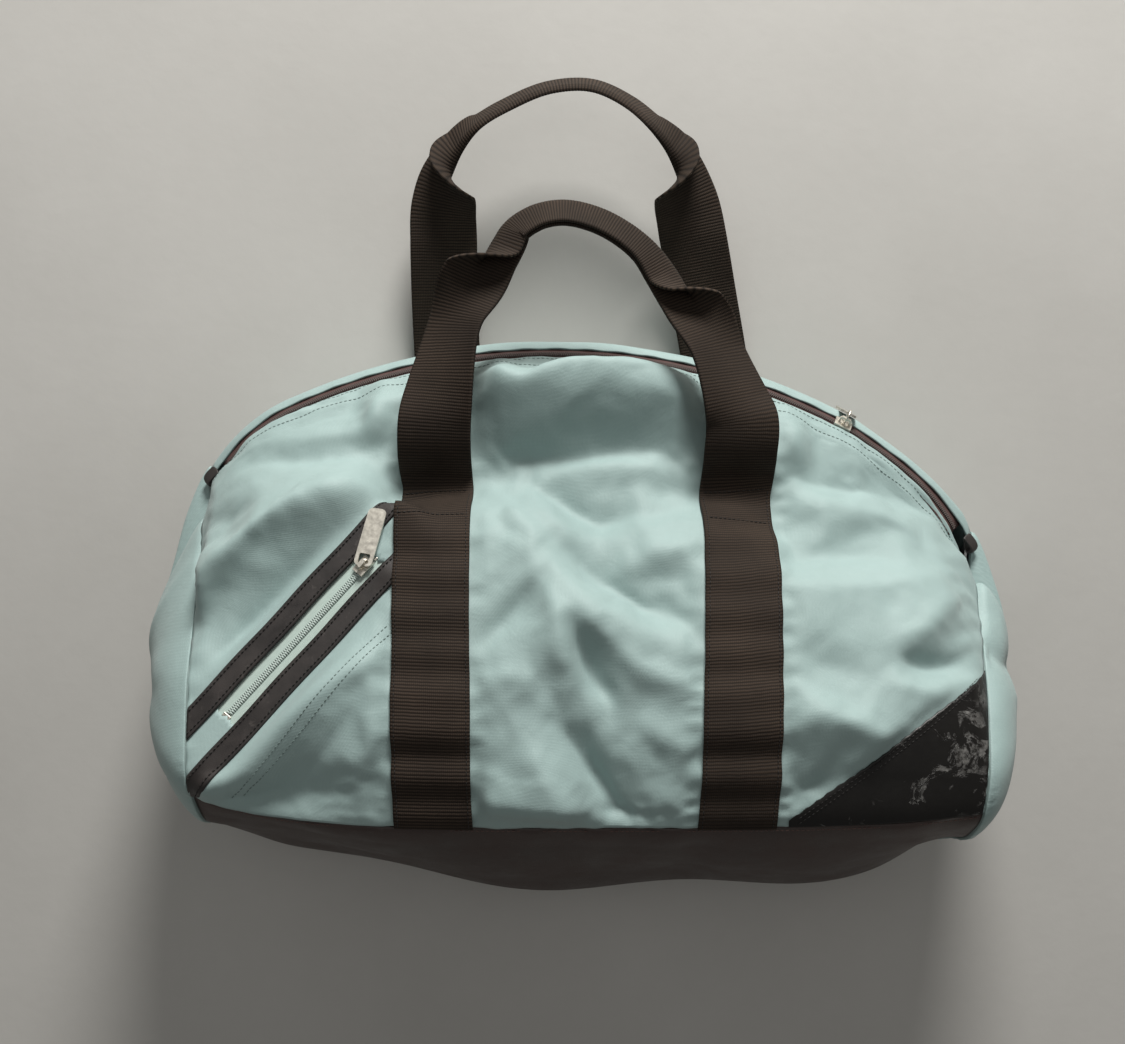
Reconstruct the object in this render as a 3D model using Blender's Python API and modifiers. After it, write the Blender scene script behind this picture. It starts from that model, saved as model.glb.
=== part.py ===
"""A duffel bag lying on its back: sewn shell panels, two zips, webbing straps and two handles.

Metres. +Z points up, out of the front panel. +X runs along the bag, and +Y points to the main zip
and the handles. The origin is the centre of the bounding box's base, on the floor.
"""

import math

import bmesh
import bpy
from mathutils import Matrix, Vector

# The shell
HALF_LENGTH = 0.262  # from the middle to an end seam
END_BULGE = {"left": 0.0430, "right": 0.0311}  # how far an end panel stands out past its seam
END_FULLNESS = {"left": 0.68, "right": 0.55}  # a smaller power makes a fuller dome
END_CENTRE = {"left": (-0.133, 0.095), "right": (-0.160, 0.100)}  # y and z of its middle
END_BEND = 0.200  # past this the panels' ends lean to the seams' true places
# How far an end seam lies along +X from HALF_LENGTH near the base, and its lean for each metre of Y
END_LEAN = {"left": (0.010, -0.070), "right": (-0.002, 0.135)}
END_LEAN_Y = -0.205
FABRIC = 0.0022  # padded woven shell fabric
SEAM_GAP = 0.0012  # between two panels that meet at a seam
LAYER_GAP = 0.0007  # between a flat stretch of panel and what is sewn on it
CURVED_GAP = 0.0016  # the same where the panel curves, so that the facets stay clear
FLOOR_CLEARANCE = 0.0031  # the back panel's height over the floor, above its straps
INSIDE = Vector((0, -0.125, 0.095))  # a point inside the bag, which tells out from in

# The main zip, which runs along a circular arc in plan and drops at each end
ZIP_RADIUS = 0.445
ZIP_CENTRE_X, ZIP_CENTRE_Y = -0.021, -0.359
ZIP_HEIGHT = 0.091
ZIP_TILT = math.radians(45)  # the zip faces up and outwards
ZIP_SLOT = 0.0052  # half the width between the two fabric edges
ZIP_FLAT = 0.012  # how far the shell stays flat on each side of the zip
ARC_END = {"left": 0.205, "right": 0.192}  # where the zip leaves the arc
END_DROP_Y = {"left": 0.028, "right": 0.048}
END_DROP_Z = 0.009
TAPE_WIDTH, TAPE_THICKNESS = 0.0095, 0.0007
ZIP_END_INSET = 0.023  # from the end seam to the tapes' ends
COIL_WIDTH, COIL_THICKNESS = 0.0046, 0.0023

# The pocket zip, on a flattened stretch of the front panel
POCKET_TOP = (-0.137, -0.056)
POCKET_BOTTOM = (-0.231, -0.161)
POCKET_FLAT, POCKET_FADE = 0.029, 0.035
POCKET_RAISE = 0.0025
POCKET_SLOT = 0.0070  # half the width of the slot
FACING_WIDTH, FACING_THICKNESS = 0.0155, 0.0012
FACING_SETBACK = 0.0012  # from the slot's edge
FACING_ENDS = {"upper": (-0.012, 0.144), "lower": (0.0130, 0.156)}  # along the zip

# Pieces sewn on or inside the shell
PATCH_X = (0.133, HALF_LENGTH - 0.004)  # the corner patch's narrow and tall ends
PATCH_TOP_Y = (-0.222, -0.136)  # its slanting edge at those ends
PATCH_THICKNESS = 0.0009
BINDING_INSET = 0.0035  # of the bound seam allowance from the end seam
BINDING_DEPTH = 0.0150  # under the shell, clear of the zip tapes where the seam crosses them
BINDING_RISE, BINDING_THICKNESS = 0.008, 0.0016
BINDING_AIM = (-0.130, 0.065)  # y and z of the point that it stands up towards
END_TAB_INSET, END_TAB_LIFT = 0.006, 0.0052  # from the end seam, and over the zip
END_TAB_SIZE, END_TAB_CORNER, END_TAB_THICKNESS = (0.016, 0.022), 0.003, 0.0022
POUCH_ALONG, POUCH_ACROSS = (0.006, 0.132), (-0.014, 0.056)
POUCH_TOP, POUCH_DEPTH, POUCH_RIM, POUCH_THICKNESS = -0.0130, 0.012, 0.010, 0.0010
STOP_SIZE, STOP_INSET = (0.0028, 0.0062, 0.0024), 0.001

# Sliders and pulls
MAIN_SLIDER_BASE, POCKET_SLIDER_BASE = 0.0003, 0.0002  # the plate's height over the shell
POCKET_SLIDER_START = 0.0100  # from the pocket zip's top end
POCKET_PULL_TURN = math.radians(208)  # the pull points back up the panel
SLIDER_LENGTH, SLIDER_WIDTH, SLIDER_PLATE = 0.0125, 0.0084, 0.0018
BRIDGE_LENGTH, BRIDGE_RISE, BRIDGE_BAR, BRIDGE_WIDTH = 0.0086, 0.0046, 0.0013, 0.0018
MAIN_BRIDGE_RISE = 0.0052  # taller, for a ring
PULL_LENGTH, PULL_WIDTH, PULL_THICKNESS = 0.040, 0.0125, 0.0016
EYE_LENGTH, EYE_WIDTH, EYE_BAR = 0.0068, 0.0074, 0.0018
MAIN_SLIDER_X = 0.186
RING_RADIUS, RING_WIRE = 0.0044, 0.0007
RING_CLEARANCE = 0.0021  # from the ring's wire to the middle of a bar that it holds
RING_LIFT = math.radians(20)  # the ring leans on the slider's edge
TAB_LEAN = math.radians(9)  # the hanging tab's lean away from the back panel

# Webbing
WEBBING_WIDTH, WEBBING_THICKNESS = 0.050, 0.0022
STRAP_X = {"left": (-0.095, -0.100), "right": (0.098, 0.108)}  # at the base and at the hinge
FRONT_HINGE_Y = 0.001
BACK_HINGE_Y = 0.055
BACK_STRAP_START = -0.212
HINGE_GAP = 0.0006  # from a strap's sewn end to its hinge axis, and on to the handle

# The shell's section, from the base's back edge round over the front and back to the floor.
# Base points: y and z at the middle of the bag, at the left end seam and at the right one.
BASE_SECTION = (
    ((-0.225, 0.003), (-0.198, 0.003), (-0.205, 0.003)),
    ((-0.267, 0.018), (-0.226, 0.020), (-0.238, 0.020)),
    ((-0.2960, 0.062), (-0.245, 0.062), (-0.258, 0.062)),
    ((-0.276, 0.125), (-0.238, 0.128), (-0.250, 0.128)),
    ((-0.249, 0.180), (-0.226, 0.178), (-0.238, 0.178)),
    ((-0.229, 0.206), (-0.208, 0.197), (-0.221, 0.199)),
)
# Front points: how far along from the base seam to the zip, then z at the middle and at an end.
FRONT_SECTION = (
    (0.12, 0.213, 0.201),
    (0.34, 0.203, 0.184),
    (0.57, 0.178, 0.155),
    (0.76, 0.142, 0.124),
    (0.90, 0.116, 0.101),
)
# Back points: y and z from the zip, which follow it along the bag.
BACK_SECTION = ((0.0085, -0.029), (-0.002, -0.062), (-0.034, -0.085))
FLOOR_POINTS = (0.35, 0.70)  # how far along the floor from the zip to the base

BASE_SEAM = len(BASE_SECTION) - 1
ZIP_STATION = BASE_SEAM + len(FRONT_SECTION) + 2
STATIONS = ZIP_STATION + 2 + len(BACK_SECTION) + len(FLOOR_POINTS)
FRONT_EDGE = ZIP_STATION - ZIP_SLOT / ZIP_FLAT
BACK_EDGE = ZIP_STATION + ZIP_SLOT / ZIP_FLAT
SEAM_STEP = 0.03  # the gap along the base's two long seams, in stations

Z_AXIS = Vector((0, 0, 1))
sections = {}


def mix(a, b, share):
    return a + (b - a) * share


def smooth_step(share):
    share = min(max(share, 0.0), 1.0)
    return share * share * (3 - 2 * share)


def hermite(points, t, closed):
    """A smooth curve through the points, whose tangents allow for uneven spacing."""
    count = len(points)
    last = count if closed else count - 1
    index = min(int(math.floor(t)), last - 1)
    share = t - index

    def point(i):
        return points[i % count] if closed else points[min(max(i, 0), count - 1)]

    def slope(i):
        before = point(i) - point(i - 1)
        after = point(i + 1) - point(i)
        if before.length < 1e-9 or after.length < 1e-9:
            return (before + after).normalized()
        total = before.length + after.length
        return (
            before / before.length * after.length + after / after.length * before.length
        ) / total

    start, end = point(index), point(index + 1)
    span = (end - start).length
    square, cube = share * share, share**3
    return (
        start * (2 * cube - 3 * square + 1)
        + slope(index) * span * (cube - 2 * square + share)
        + end * (3 * square - 2 * cube)
        + slope(index + 1) * span * (cube - square)
    )


# ---- The shell's surface


def side_of(x):
    return "left" if x < 0 else "right"


def leaning_x(x, y):
    """Where a point of the flat layout lies along the bag, once the end seams lean."""
    shift, lean = END_LEAN[side_of(x)]
    bend = smooth_step((abs(x) - END_BEND) / (HALF_LENGTH - END_BEND))
    return x + (shift + lean * (y - END_LEAN_Y)) * bend


def zip_line(x):
    """The zip's centre at x: the arc, with a drop towards each end seam."""
    side = side_of(x)
    reach = math.sqrt(ZIP_RADIUS**2 - (x - ZIP_CENTRE_X) ** 2)
    drop = max(0.0, (abs(x) - ARC_END[side]) / (HALF_LENGTH - ARC_END[side])) ** 2
    y = ZIP_CENTRE_Y + reach - END_DROP_Y[side] * drop
    return Vector((leaning_x(x, y), y, ZIP_HEIGHT - END_DROP_Z * drop))


def zip_axes(x):
    """The zip's direction, its outward normal and the way across it to the back panel."""
    step = 0.002
    along = (zip_line(x + step) - zip_line(x - step)).normalized()
    outward = Z_AXIS.cross(along).normalized()
    normal = outward * math.cos(ZIP_TILT) + Z_AXIS * math.sin(ZIP_TILT)
    return along, normal, normal.cross(along).normalized()


def section(x):
    """The section's points at x, as vectors of y and z."""
    key = round(x, 6)
    if key in sections:
        return sections[key]
    ends = (x / HALF_LENGTH) ** 2
    crest = zip_line(x)
    along = zip_axes(x)[0]
    flare = 1 / max(abs(along.x), 0.4)  # a slanting zip's width, measured along y
    flat_y = ZIP_FLAT * math.sin(ZIP_TILT) * flare
    flat_z = ZIP_FLAT * math.cos(ZIP_TILT)
    points = []
    for index, (middle, left, right) in enumerate(BASE_SECTION):
        square_cornered = x > 0 or index == BASE_SEAM
        share = ends**2 if square_cornered else ends
        points.append(Vector(middle).lerp(Vector(left if x < 0 else right), share))
    seam_y = points[-1].x
    for share, middle_z, end_z in FRONT_SECTION:
        points.append(Vector((mix(seam_y, crest.y, share), mix(middle_z, end_z, ends))))
    points.append(Vector((crest.y - flat_y, crest.z + flat_z)))
    points.append(Vector((crest.y, crest.z)))
    points.append(Vector((crest.y + flat_y, crest.z - flat_z)))
    for y, z in BACK_SECTION:
        points.append(Vector((crest.y + y, crest.z + z)))
    last_y = points[-1].x
    for share in FLOOR_POINTS:
        points.append(Vector((mix(last_y, points[0].x, share), FLOOR_CLEARANCE)))
    sections[key] = points
    return points


def raw_point(x, t):
    place = hermite(section(x), t, closed=True)
    return Vector((leaning_x(x, place.x), place.x, max(place.y, FLOOR_CLEARANCE)))


def front_station(x, y):
    """The station around the section where the front panel reaches y."""
    low, high = float(BASE_SEAM), float(ZIP_STATION)
    for _ in range(30):
        middle = (low + high) / 2
        if raw_point(x, middle).y < y:
            low = middle
        else:
            high = middle
    return low


def raw_height(x, y):
    """The front panel's height over a point of the floor, before the pocket flattens it."""
    return raw_point(x, front_station(x, y)).z


def pocket_frame():
    """The pocket zip's own frame: x along it, from its top end, y across it, z out of the panel."""
    top = Vector((*POCKET_TOP, raw_height(*POCKET_TOP) + POCKET_RAISE))
    bottom = Vector((*POCKET_BOTTOM, raw_height(*POCKET_BOTTOM) + POCKET_RAISE))
    along = (bottom - top).normalized()
    middle = (top + bottom) / 2
    sideways = Z_AXIS.cross(along).normalized() * FACING_WIDTH
    high, low = middle + sideways, middle - sideways
    high.z = raw_height(high.x, high.y)
    low.z = raw_height(low.x, low.y)
    normal = along.cross(high - low).normalized()
    across = normal.cross(along)
    return Matrix.Translation(top) @ Matrix((along, across, normal)).transposed().to_4x4()


POCKET = pocket_frame()
POCKET_LENGTH = (Vector(POCKET_TOP) - Vector(POCKET_BOTTOM)).length


def shell_point(x, t, outward=0.0):
    """A point of the shell's outer face, moved outwards along the face by a distance."""
    if outward:
        step = 0.02
        along = shell_point(min(x + 0.001, HALF_LENGTH), t) - shell_point(
            max(x - 0.001, -HALF_LENGTH), t
        )
        around = shell_point(x, t + step) - shell_point(x, t - step)
        return shell_point(x, t) + around.cross(along).normalized() * -outward
    place = raw_point(x, t % STATIONS)
    if not BASE_SEAM < t < ZIP_STATION:
        return place
    local = POCKET.inverted() @ place
    beyond = max(0.0, -local.x, local.x - POCKET_LENGTH)
    distance = math.hypot(local.y, beyond)
    flat = smooth_step(1 - (distance - POCKET_FLAT) / POCKET_FADE)
    normal = POCKET.to_3x3() @ Z_AXIS
    place.z -= flat * local.z / normal.z
    return place


# ---- Making objects


def clear_scene():
    for old in list(bpy.data.objects):
        bpy.data.objects.remove(old, do_unlink=True)


def new_collection(name):
    collection = bpy.data.collections.new(name)
    bpy.context.scene.collection.children.link(collection)
    return collection


def new_material(name, colour, roughness, metallic=0.0):
    material = bpy.data.materials.new(name)
    material.use_nodes = True
    shader = material.node_tree.nodes["Principled BSDF"]
    shader.inputs["Base Color"].default_value = (*colour, 1)
    shader.inputs["Roughness"].default_value = roughness
    shader.inputs["Metallic"].default_value = metallic
    return material


clear_scene()
PARTS = new_collection("duffel_bag")
HELPERS = new_collection("helpers")
MINT = new_material("mint_fabric", (0.42, 0.56, 0.53), 0.8)
BASE = new_material("coated_base", (0.035, 0.024, 0.021), 0.5)
WEBBING = new_material("brown_webbing", (0.075, 0.055, 0.045), 0.85)
FACING = new_material("dark_facing", (0.045, 0.035, 0.031), 0.45)
PATCH = new_material("corner_patch", (0.012, 0.011, 0.010), 0.35)
COIL = new_material("zip_coil", (0.060, 0.040, 0.036), 0.5)
TAPE = new_material("zip_tape", (0.095, 0.050, 0.045), 0.8)
POCKET_TAPE = new_material("pocket_tape", (0.50, 0.58, 0.54), 0.8)
METAL = new_material("nickel", (0.62, 0.60, 0.55), 0.28, 1.0)
LINING = new_material("lining", (0.10, 0.10, 0.10), 0.9)


def add_object(name, mesh, material, collection=PARTS):
    item = bpy.data.objects.new(name, mesh)
    collection.objects.link(item)
    if material:
        mesh.materials.append(material)
    return item


def finish_mesh(name, builder, material, collection=PARTS):
    mesh = bpy.data.meshes.new(name)
    builder.to_mesh(mesh)
    builder.free()
    return add_object(name, mesh, material, collection)


def smooth(item, degrees=35):
    item.data.shade_smooth()
    item.data.set_sharp_from_angle(angle=math.radians(degrees))


def sheet(name, rows, material, thickness, outward=False, ring=False, pole=None):
    """An open surface through a grid of points, thickened inwards or outwards.

    A ring closes each row on itself, and a pole closes the last row on one point.
    """
    builder = bmesh.new()
    grid = [[builder.verts.new(point) for point in row] for row in rows]
    for row, following in zip(grid, grid[1:]):
        count = len(row)
        for i in range(count if ring else count - 1):
            j = (i + 1) % count
            builder.faces.new((row[i], row[j], following[j], following[i]))
    if pole is not None:
        tip = builder.verts.new(pole)
        last = grid[-1]
        for i, vertex in enumerate(last):
            builder.faces.new((vertex, last[(i + 1) % len(last)], tip))
    builder.normal_update()
    facing = sum(
        face.normal.dot(face.calc_center_median() - INSIDE) * face.calc_area()
        for face in builder.faces
    )
    if facing < 0:
        bmesh.ops.reverse_faces(builder, faces=builder.faces[:])
    item = finish_mesh(name, builder, material)
    solid = item.modifiers.new("Thickness", "SOLIDIFY")
    solid.thickness = thickness
    solid.offset = 1 if outward else -1
    solid.use_even_offset = True
    smooth(item)
    return item


def spread(start, end, count):
    return [mix(start, end, i / (count - 1)) for i in range(count)]


def ribbon(name, stations, material):
    """A closed strip through stations of centre, way across, normal, width and thickness."""
    builder = bmesh.new()
    loops = []
    for centre, across, normal, width, thickness in stations:
        side, lift = across * width / 2, normal * thickness / 2
        corners = (
            centre - side - lift,
            centre + side - lift,
            centre + side + lift,
            centre - side + lift,
        )
        loops.append([builder.verts.new(corner) for corner in corners])
    for loop, following in zip(loops, loops[1:]):
        for i in range(4):
            j = (i + 1) % 4
            builder.faces.new((loop[i], loop[j], following[j], following[i]))
    builder.faces.new(loops[0][::-1])
    builder.faces.new(loops[-1])
    bmesh.ops.recalc_face_normals(builder, faces=builder.faces)
    item = finish_mesh(name, builder, material)
    smooth(item)
    return item


def box(name, size, centre, frame, material, bevel=0.0, collection=PARTS):
    """A box whose size and centre are given in a frame of its own."""
    builder = bmesh.new()
    bmesh.ops.create_cube(builder, size=1)
    bmesh.ops.scale(builder, vec=size, verts=builder.verts)
    item = finish_mesh(name, builder, material, collection)
    item.matrix_world = frame @ Matrix.Translation(centre)
    if bevel:
        rounding = item.modifiers.new("Rounding", "BEVEL")
        rounding.width = bevel
        rounding.segments = 2
    return item


def helper(item):
    item.hide_render = True
    item.display_type = "WIRE"
    return item


def boolean(item, other, operation):
    change = item.modifiers.new(operation.title(), "BOOLEAN")
    change.operation = operation
    change.object = helper(other)


def flat_outline(name, outlines, thickness, frame, material):
    """A plate cut to an outline with holes, as a mesh placed by a frame."""
    curve = bpy.data.curves.new(name, "CURVE")
    curve.dimensions = "2D"
    curve.fill_mode = "BOTH"
    curve.extrude = thickness / 2
    for outline in outlines:
        spline = curve.splines.new("POLY")
        spline.points.add(len(outline) - 1)
        for point, (x, y) in zip(spline.points, outline):
            point.co = (x, y, 0, 1)
        spline.use_cyclic_u = True
    source = bpy.data.objects.new(name + "_outline", curve)
    HELPERS.objects.link(source)
    bpy.context.view_layer.update()
    graph = bpy.context.evaluated_depsgraph_get()
    mesh = bpy.data.meshes.new_from_object(source.evaluated_get(graph))
    bpy.data.objects.remove(source)
    builder = bmesh.new()
    builder.from_mesh(mesh)
    bmesh.ops.remove_doubles(builder, verts=builder.verts, dist=1e-6)
    bmesh.ops.recalc_face_normals(builder, faces=builder.faces)
    builder.to_mesh(mesh)
    builder.free()
    mesh.name = name
    item = add_object(name, mesh, material)
    item.matrix_world = frame
    return item


def hang_on(name, frame, *items):
    """Parents items, which stay where they are, to an empty on their joint's axis."""
    axis = bpy.data.objects.new(name, None)
    axis.matrix_world = frame
    PARTS.objects.link(axis)
    bpy.context.view_layer.update()
    for item in items:
        place = item.matrix_world.copy()
        item.parent = axis
        item.matrix_parent_inverse = axis.matrix_world.inverted()
        item.matrix_world = place


def rounded_rectangle(x0, x1, y0, y1, radius, steps=3):
    """The outline of a rectangle with round corners, anticlockwise."""
    corners = (
        (x1 - radius, y0 + radius, -90),
        (x1 - radius, y1 - radius, 0),
        (x0 + radius, y1 - radius, 90),
        (x0 + radius, y0 + radius, 180),
    )
    points = []
    for x, y, start in corners:
        for step in range(steps + 1):
            angle = math.radians(start + 90 * step / steps)
            points.append((x + radius * math.cos(angle), y + radius * math.sin(angle)))
    return points


# ---- The shell panels


def shell_rows(x_values, t_values, outward=0.0):
    return [[shell_point(x, t, outward) for x in x_values] for t in t_values]


def front_panel():
    x_values = spread(-HALF_LENGTH + SEAM_GAP / 2, HALF_LENGTH - SEAM_GAP / 2, 27)
    t_values = spread(BASE_SEAM + SEAM_STEP, FRONT_EDGE, 29)
    panel = sheet("front_panel", shell_rows(x_values, t_values), MINT, FABRIC)
    length = POCKET_LENGTH + 0.004
    cutter = box(
        "pocket_slot_cutter",
        (length, 2 * POCKET_SLOT, 0.02),
        Vector((POCKET_LENGTH / 2, 0, 0)),
        POCKET,
        None,
        collection=HELPERS,
    )
    boolean(panel, cutter, "DIFFERENCE")


def back_panel():
    x_values = spread(-HALF_LENGTH + SEAM_GAP / 2, HALF_LENGTH - SEAM_GAP / 2, 21)
    t_values = spread(BACK_EDGE, STATIONS - SEAM_STEP, 15)
    sheet("back_panel", shell_rows(x_values, t_values), MINT, FABRIC)


def base_panel():
    x_values = spread(-HALF_LENGTH + SEAM_GAP / 2, HALF_LENGTH - SEAM_GAP / 2, 17)
    t_values = spread(SEAM_STEP, BASE_SEAM - SEAM_STEP, 11)
    sheet("base_panel", shell_rows(x_values, t_values), BASE, FABRIC)


def end_panel(name, side):
    """A domed cap over the loop at an end seam."""
    count, rings = 2 * STATIONS, 5
    end = side_of(side)
    loop = [shell_point(side * HALF_LENGTH, i / 2) for i in range(count)]
    centre = Vector((sum(point.x for point in loop) / count, *END_CENTRE[end]))
    rows = []
    for ring in range(rings + 1):
        angle = math.radians(90 * ring / rings)
        bulge = END_BULGE[end] * math.sin(angle) ** (2 * END_FULLNESS[end])
        shift = Vector((side * (SEAM_GAP / 2 + bulge), 0, 0))
        rows.append([centre.lerp(point, math.cos(angle)) + shift for point in loop])
    tip = rows.pop()[0]
    sheet(name, rows, MINT, FABRIC, ring=True, pole=tip)


def seam_binding(name, side):
    """The bound seam allowance that stands up inside the bag along an end seam."""
    x = side * (HALF_LENGTH - BINDING_INSET)
    rows = []
    for depth in (BINDING_DEPTH, BINDING_DEPTH + BINDING_RISE):
        row = []
        for i in range(2 * STATIONS):
            place = shell_point(x, i / 2)
            inwards = Vector((place.x, *BINDING_AIM)) - place
            row.append(place + inwards.normalized() * depth)
        rows.append(row)
    sheet(name, rows, LINING, BINDING_THICKNESS, ring=True)


def corner_patch():
    """A triangle of coated fabric over the front panel's corner, narrowing along the base."""
    rows = [[] for _ in range(7)]
    for share in spread(0, 1, 10):
        x = mix(*PATCH_X, share)
        top_t = front_station(x, mix(*PATCH_TOP_Y, share))
        for row, t in zip(rows, spread(BASE_SEAM + 2 * SEAM_STEP, top_t, len(rows))):
            row.append(shell_point(x, t, CURVED_GAP))
    sheet("corner_patch", rows, PATCH, PATCH_THICKNESS, outward=True)


# ---- The main zip


def zip_strip(name, low, high, bottom, thickness, ends, material, steps=34):
    """A strip along the zip, from one offset across it to another."""
    stations = []
    for x in spread(-ends, ends, steps):
        _, normal, across = zip_axes(x)
        centre = zip_line(x) + across * (low + high) / 2 + normal * (bottom + thickness / 2)
        stations.append((centre, across, normal, high - low, thickness))
    return ribbon(name, stations, material)


def zip_frame(x):
    """The frame of something on the zip: x along it, y across it, z out of it."""
    along, normal, across = zip_axes(x)
    turn = Matrix((along, across, normal)).transposed().to_4x4()
    return Matrix.Translation(zip_line(x)) @ turn


def main_zip():
    tape_bottom = -FABRIC - CURVED_GAP - TAPE_THICKNESS
    ends = HALF_LENGTH - ZIP_END_INSET
    half_gap = SEAM_GAP / 2
    zip_strip("zip_tape_front", -TAPE_WIDTH, -half_gap, tape_bottom, TAPE_THICKNESS, ends, TAPE)
    zip_strip("zip_tape_back", half_gap, TAPE_WIDTH, tape_bottom, TAPE_THICKNESS, ends, TAPE)
    coil_bottom = -FABRIC - LAYER_GAP / 2
    half = COIL_WIDTH / 2
    zip_strip("zip_coil", -half, half, coil_bottom, COIL_THICKNESS, ends - 0.004, COIL)


def zip_end_tab(name, side):
    """A folded strip of webbing over the zip's end, standing out from the seam."""
    frame = zip_frame(side * (HALF_LENGTH - END_TAB_INSET))
    frame = frame @ Matrix.Translation((0, 0, END_TAB_LIFT))
    half_x, half_y = END_TAB_SIZE[0] / 2, END_TAB_SIZE[1] / 2
    outline = rounded_rectangle(-half_x, half_x, -half_y, half_y, END_TAB_CORNER)
    flat_outline(name, [outline], END_TAB_THICKNESS, frame, WEBBING)


# ---- Sliders and pulls


def slider(name, frame, base, bridge_rise):
    """A slider's body: a plate over the coil, with a bridge that the pull hangs on."""
    plate = box(
        name,
        (SLIDER_LENGTH, SLIDER_WIDTH, SLIDER_PLATE),
        Vector((0, 0, base + SLIDER_PLATE / 2)),
        frame,
        METAL,
    )
    top = base + SLIDER_PLATE
    half, rise = BRIDGE_LENGTH / 2, bridge_rise
    sunk = 0.0004  # into the plate, so that the two join
    outer = [(-half, -sunk), (half, -sunk), (half, rise * 0.7), (half * 0.7, rise)]
    outer += [(-half * 0.7, rise), (-half, rise * 0.7)]
    inner_half, inner_rise = half - BRIDGE_BAR, rise - BRIDGE_BAR
    arch = [(-half, -sunk), (-inner_half, -sunk), (-inner_half, inner_rise * 0.8)]
    arch += [(-inner_half * 0.8, inner_rise), (inner_half * 0.8, inner_rise)]
    arch += [(inner_half, inner_rise * 0.8), (inner_half, -sunk)] + outer[1:]
    upright = Matrix.Rotation(math.radians(90), 4, "X")
    place = frame @ Matrix.Translation((0, 0, top)) @ upright
    bridge = flat_outline(name + "_bridge", [arch], BRIDGE_WIDTH, place, None)
    PARTS.objects.unlink(bridge)
    HELPERS.objects.link(bridge)
    boolean(plate, bridge, "UNION")
    return plate


def pull_tab(name, frame):
    """A flat pull that starts at its eye's bar: x runs along it."""
    half = PULL_WIDTH / 2
    outer = rounded_rectangle(-EYE_BAR / 2, PULL_LENGTH, -half, half, half * 0.55, steps=4)
    eye_start, eye_half = EYE_BAR / 2, EYE_WIDTH / 2
    eye = rounded_rectangle(eye_start, eye_start + EYE_LENGTH, -eye_half, eye_half, 0.001)
    return flat_outline(name, [outer, eye], PULL_THICKNESS, frame, METAL)


def wire_ring(name, radius, wire, frame, material):
    """A closed ring of round wire in its frame's y and z plane."""
    builder = bmesh.new()
    turns, sides = 20, 8
    loops = []
    for i in range(turns):
        angle = 2 * math.pi * i / turns
        spoke = Vector((0, math.cos(angle), math.sin(angle)))
        loop = []
        for j in range(sides):
            turn = 2 * math.pi * j / sides
            bulge = spoke * math.cos(turn) + Vector((1, 0, 0)) * math.sin(turn)
            loop.append(builder.verts.new(spoke * radius + bulge * wire))
        loops.append(loop)
    for i, loop in enumerate(loops):
        following = loops[(i + 1) % turns]
        for j in range(sides):
            k = (j + 1) % sides
            builder.faces.new((loop[j], loop[k], following[k], following[j]))
    bmesh.ops.recalc_face_normals(builder, faces=builder.faces)
    ring = finish_mesh(name, builder, material)
    ring.matrix_world = frame
    smooth(ring)
    return ring


def main_slider_and_pull():
    frame = zip_frame(MAIN_SLIDER_X)
    body = slider("main_slider", frame, MAIN_SLIDER_BASE, MAIN_BRIDGE_RISE)
    bar_height = MAIN_SLIDER_BASE + SLIDER_PLATE + MAIN_BRIDGE_RISE - BRIDGE_BAR / 2
    bar = Vector((0, 0, bar_height))
    lean = Vector((0, math.cos(RING_LIFT), math.sin(RING_LIFT)))
    ring_centre = bar + lean * (RING_RADIUS - RING_CLEARANCE)
    place = frame @ Matrix.Translation(ring_centre)
    ring = wire_ring("main_pull_ring", RING_RADIUS, RING_WIRE, place, METAL)
    # The tab hangs down from the ring's outer side, leaning a little away from the panel.
    tab_bar = frame @ (ring_centre + lean * (RING_RADIUS - RING_CLEARANCE))
    along = frame.to_3x3() @ Vector((1, 0, 0))
    outwards = Z_AXIS.cross(along).normalized()
    down = outwards * math.sin(TAB_LEAN) - Z_AXIS * math.cos(TAB_LEAN)
    turn = Matrix((down, along, down.cross(along))).transposed().to_4x4()
    tab = pull_tab("main_pull_tab", Matrix.Translation(tab_bar) @ turn)
    hang_on("main_pull_axis", frame @ Matrix.Translation(bar), ring, tab)
    centre = Matrix.Translation((ZIP_CENTRE_X, ZIP_CENTRE_Y, ZIP_HEIGHT))
    hang_on("main_slider_axis", centre, body, bpy.data.objects["main_pull_axis"])


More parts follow.
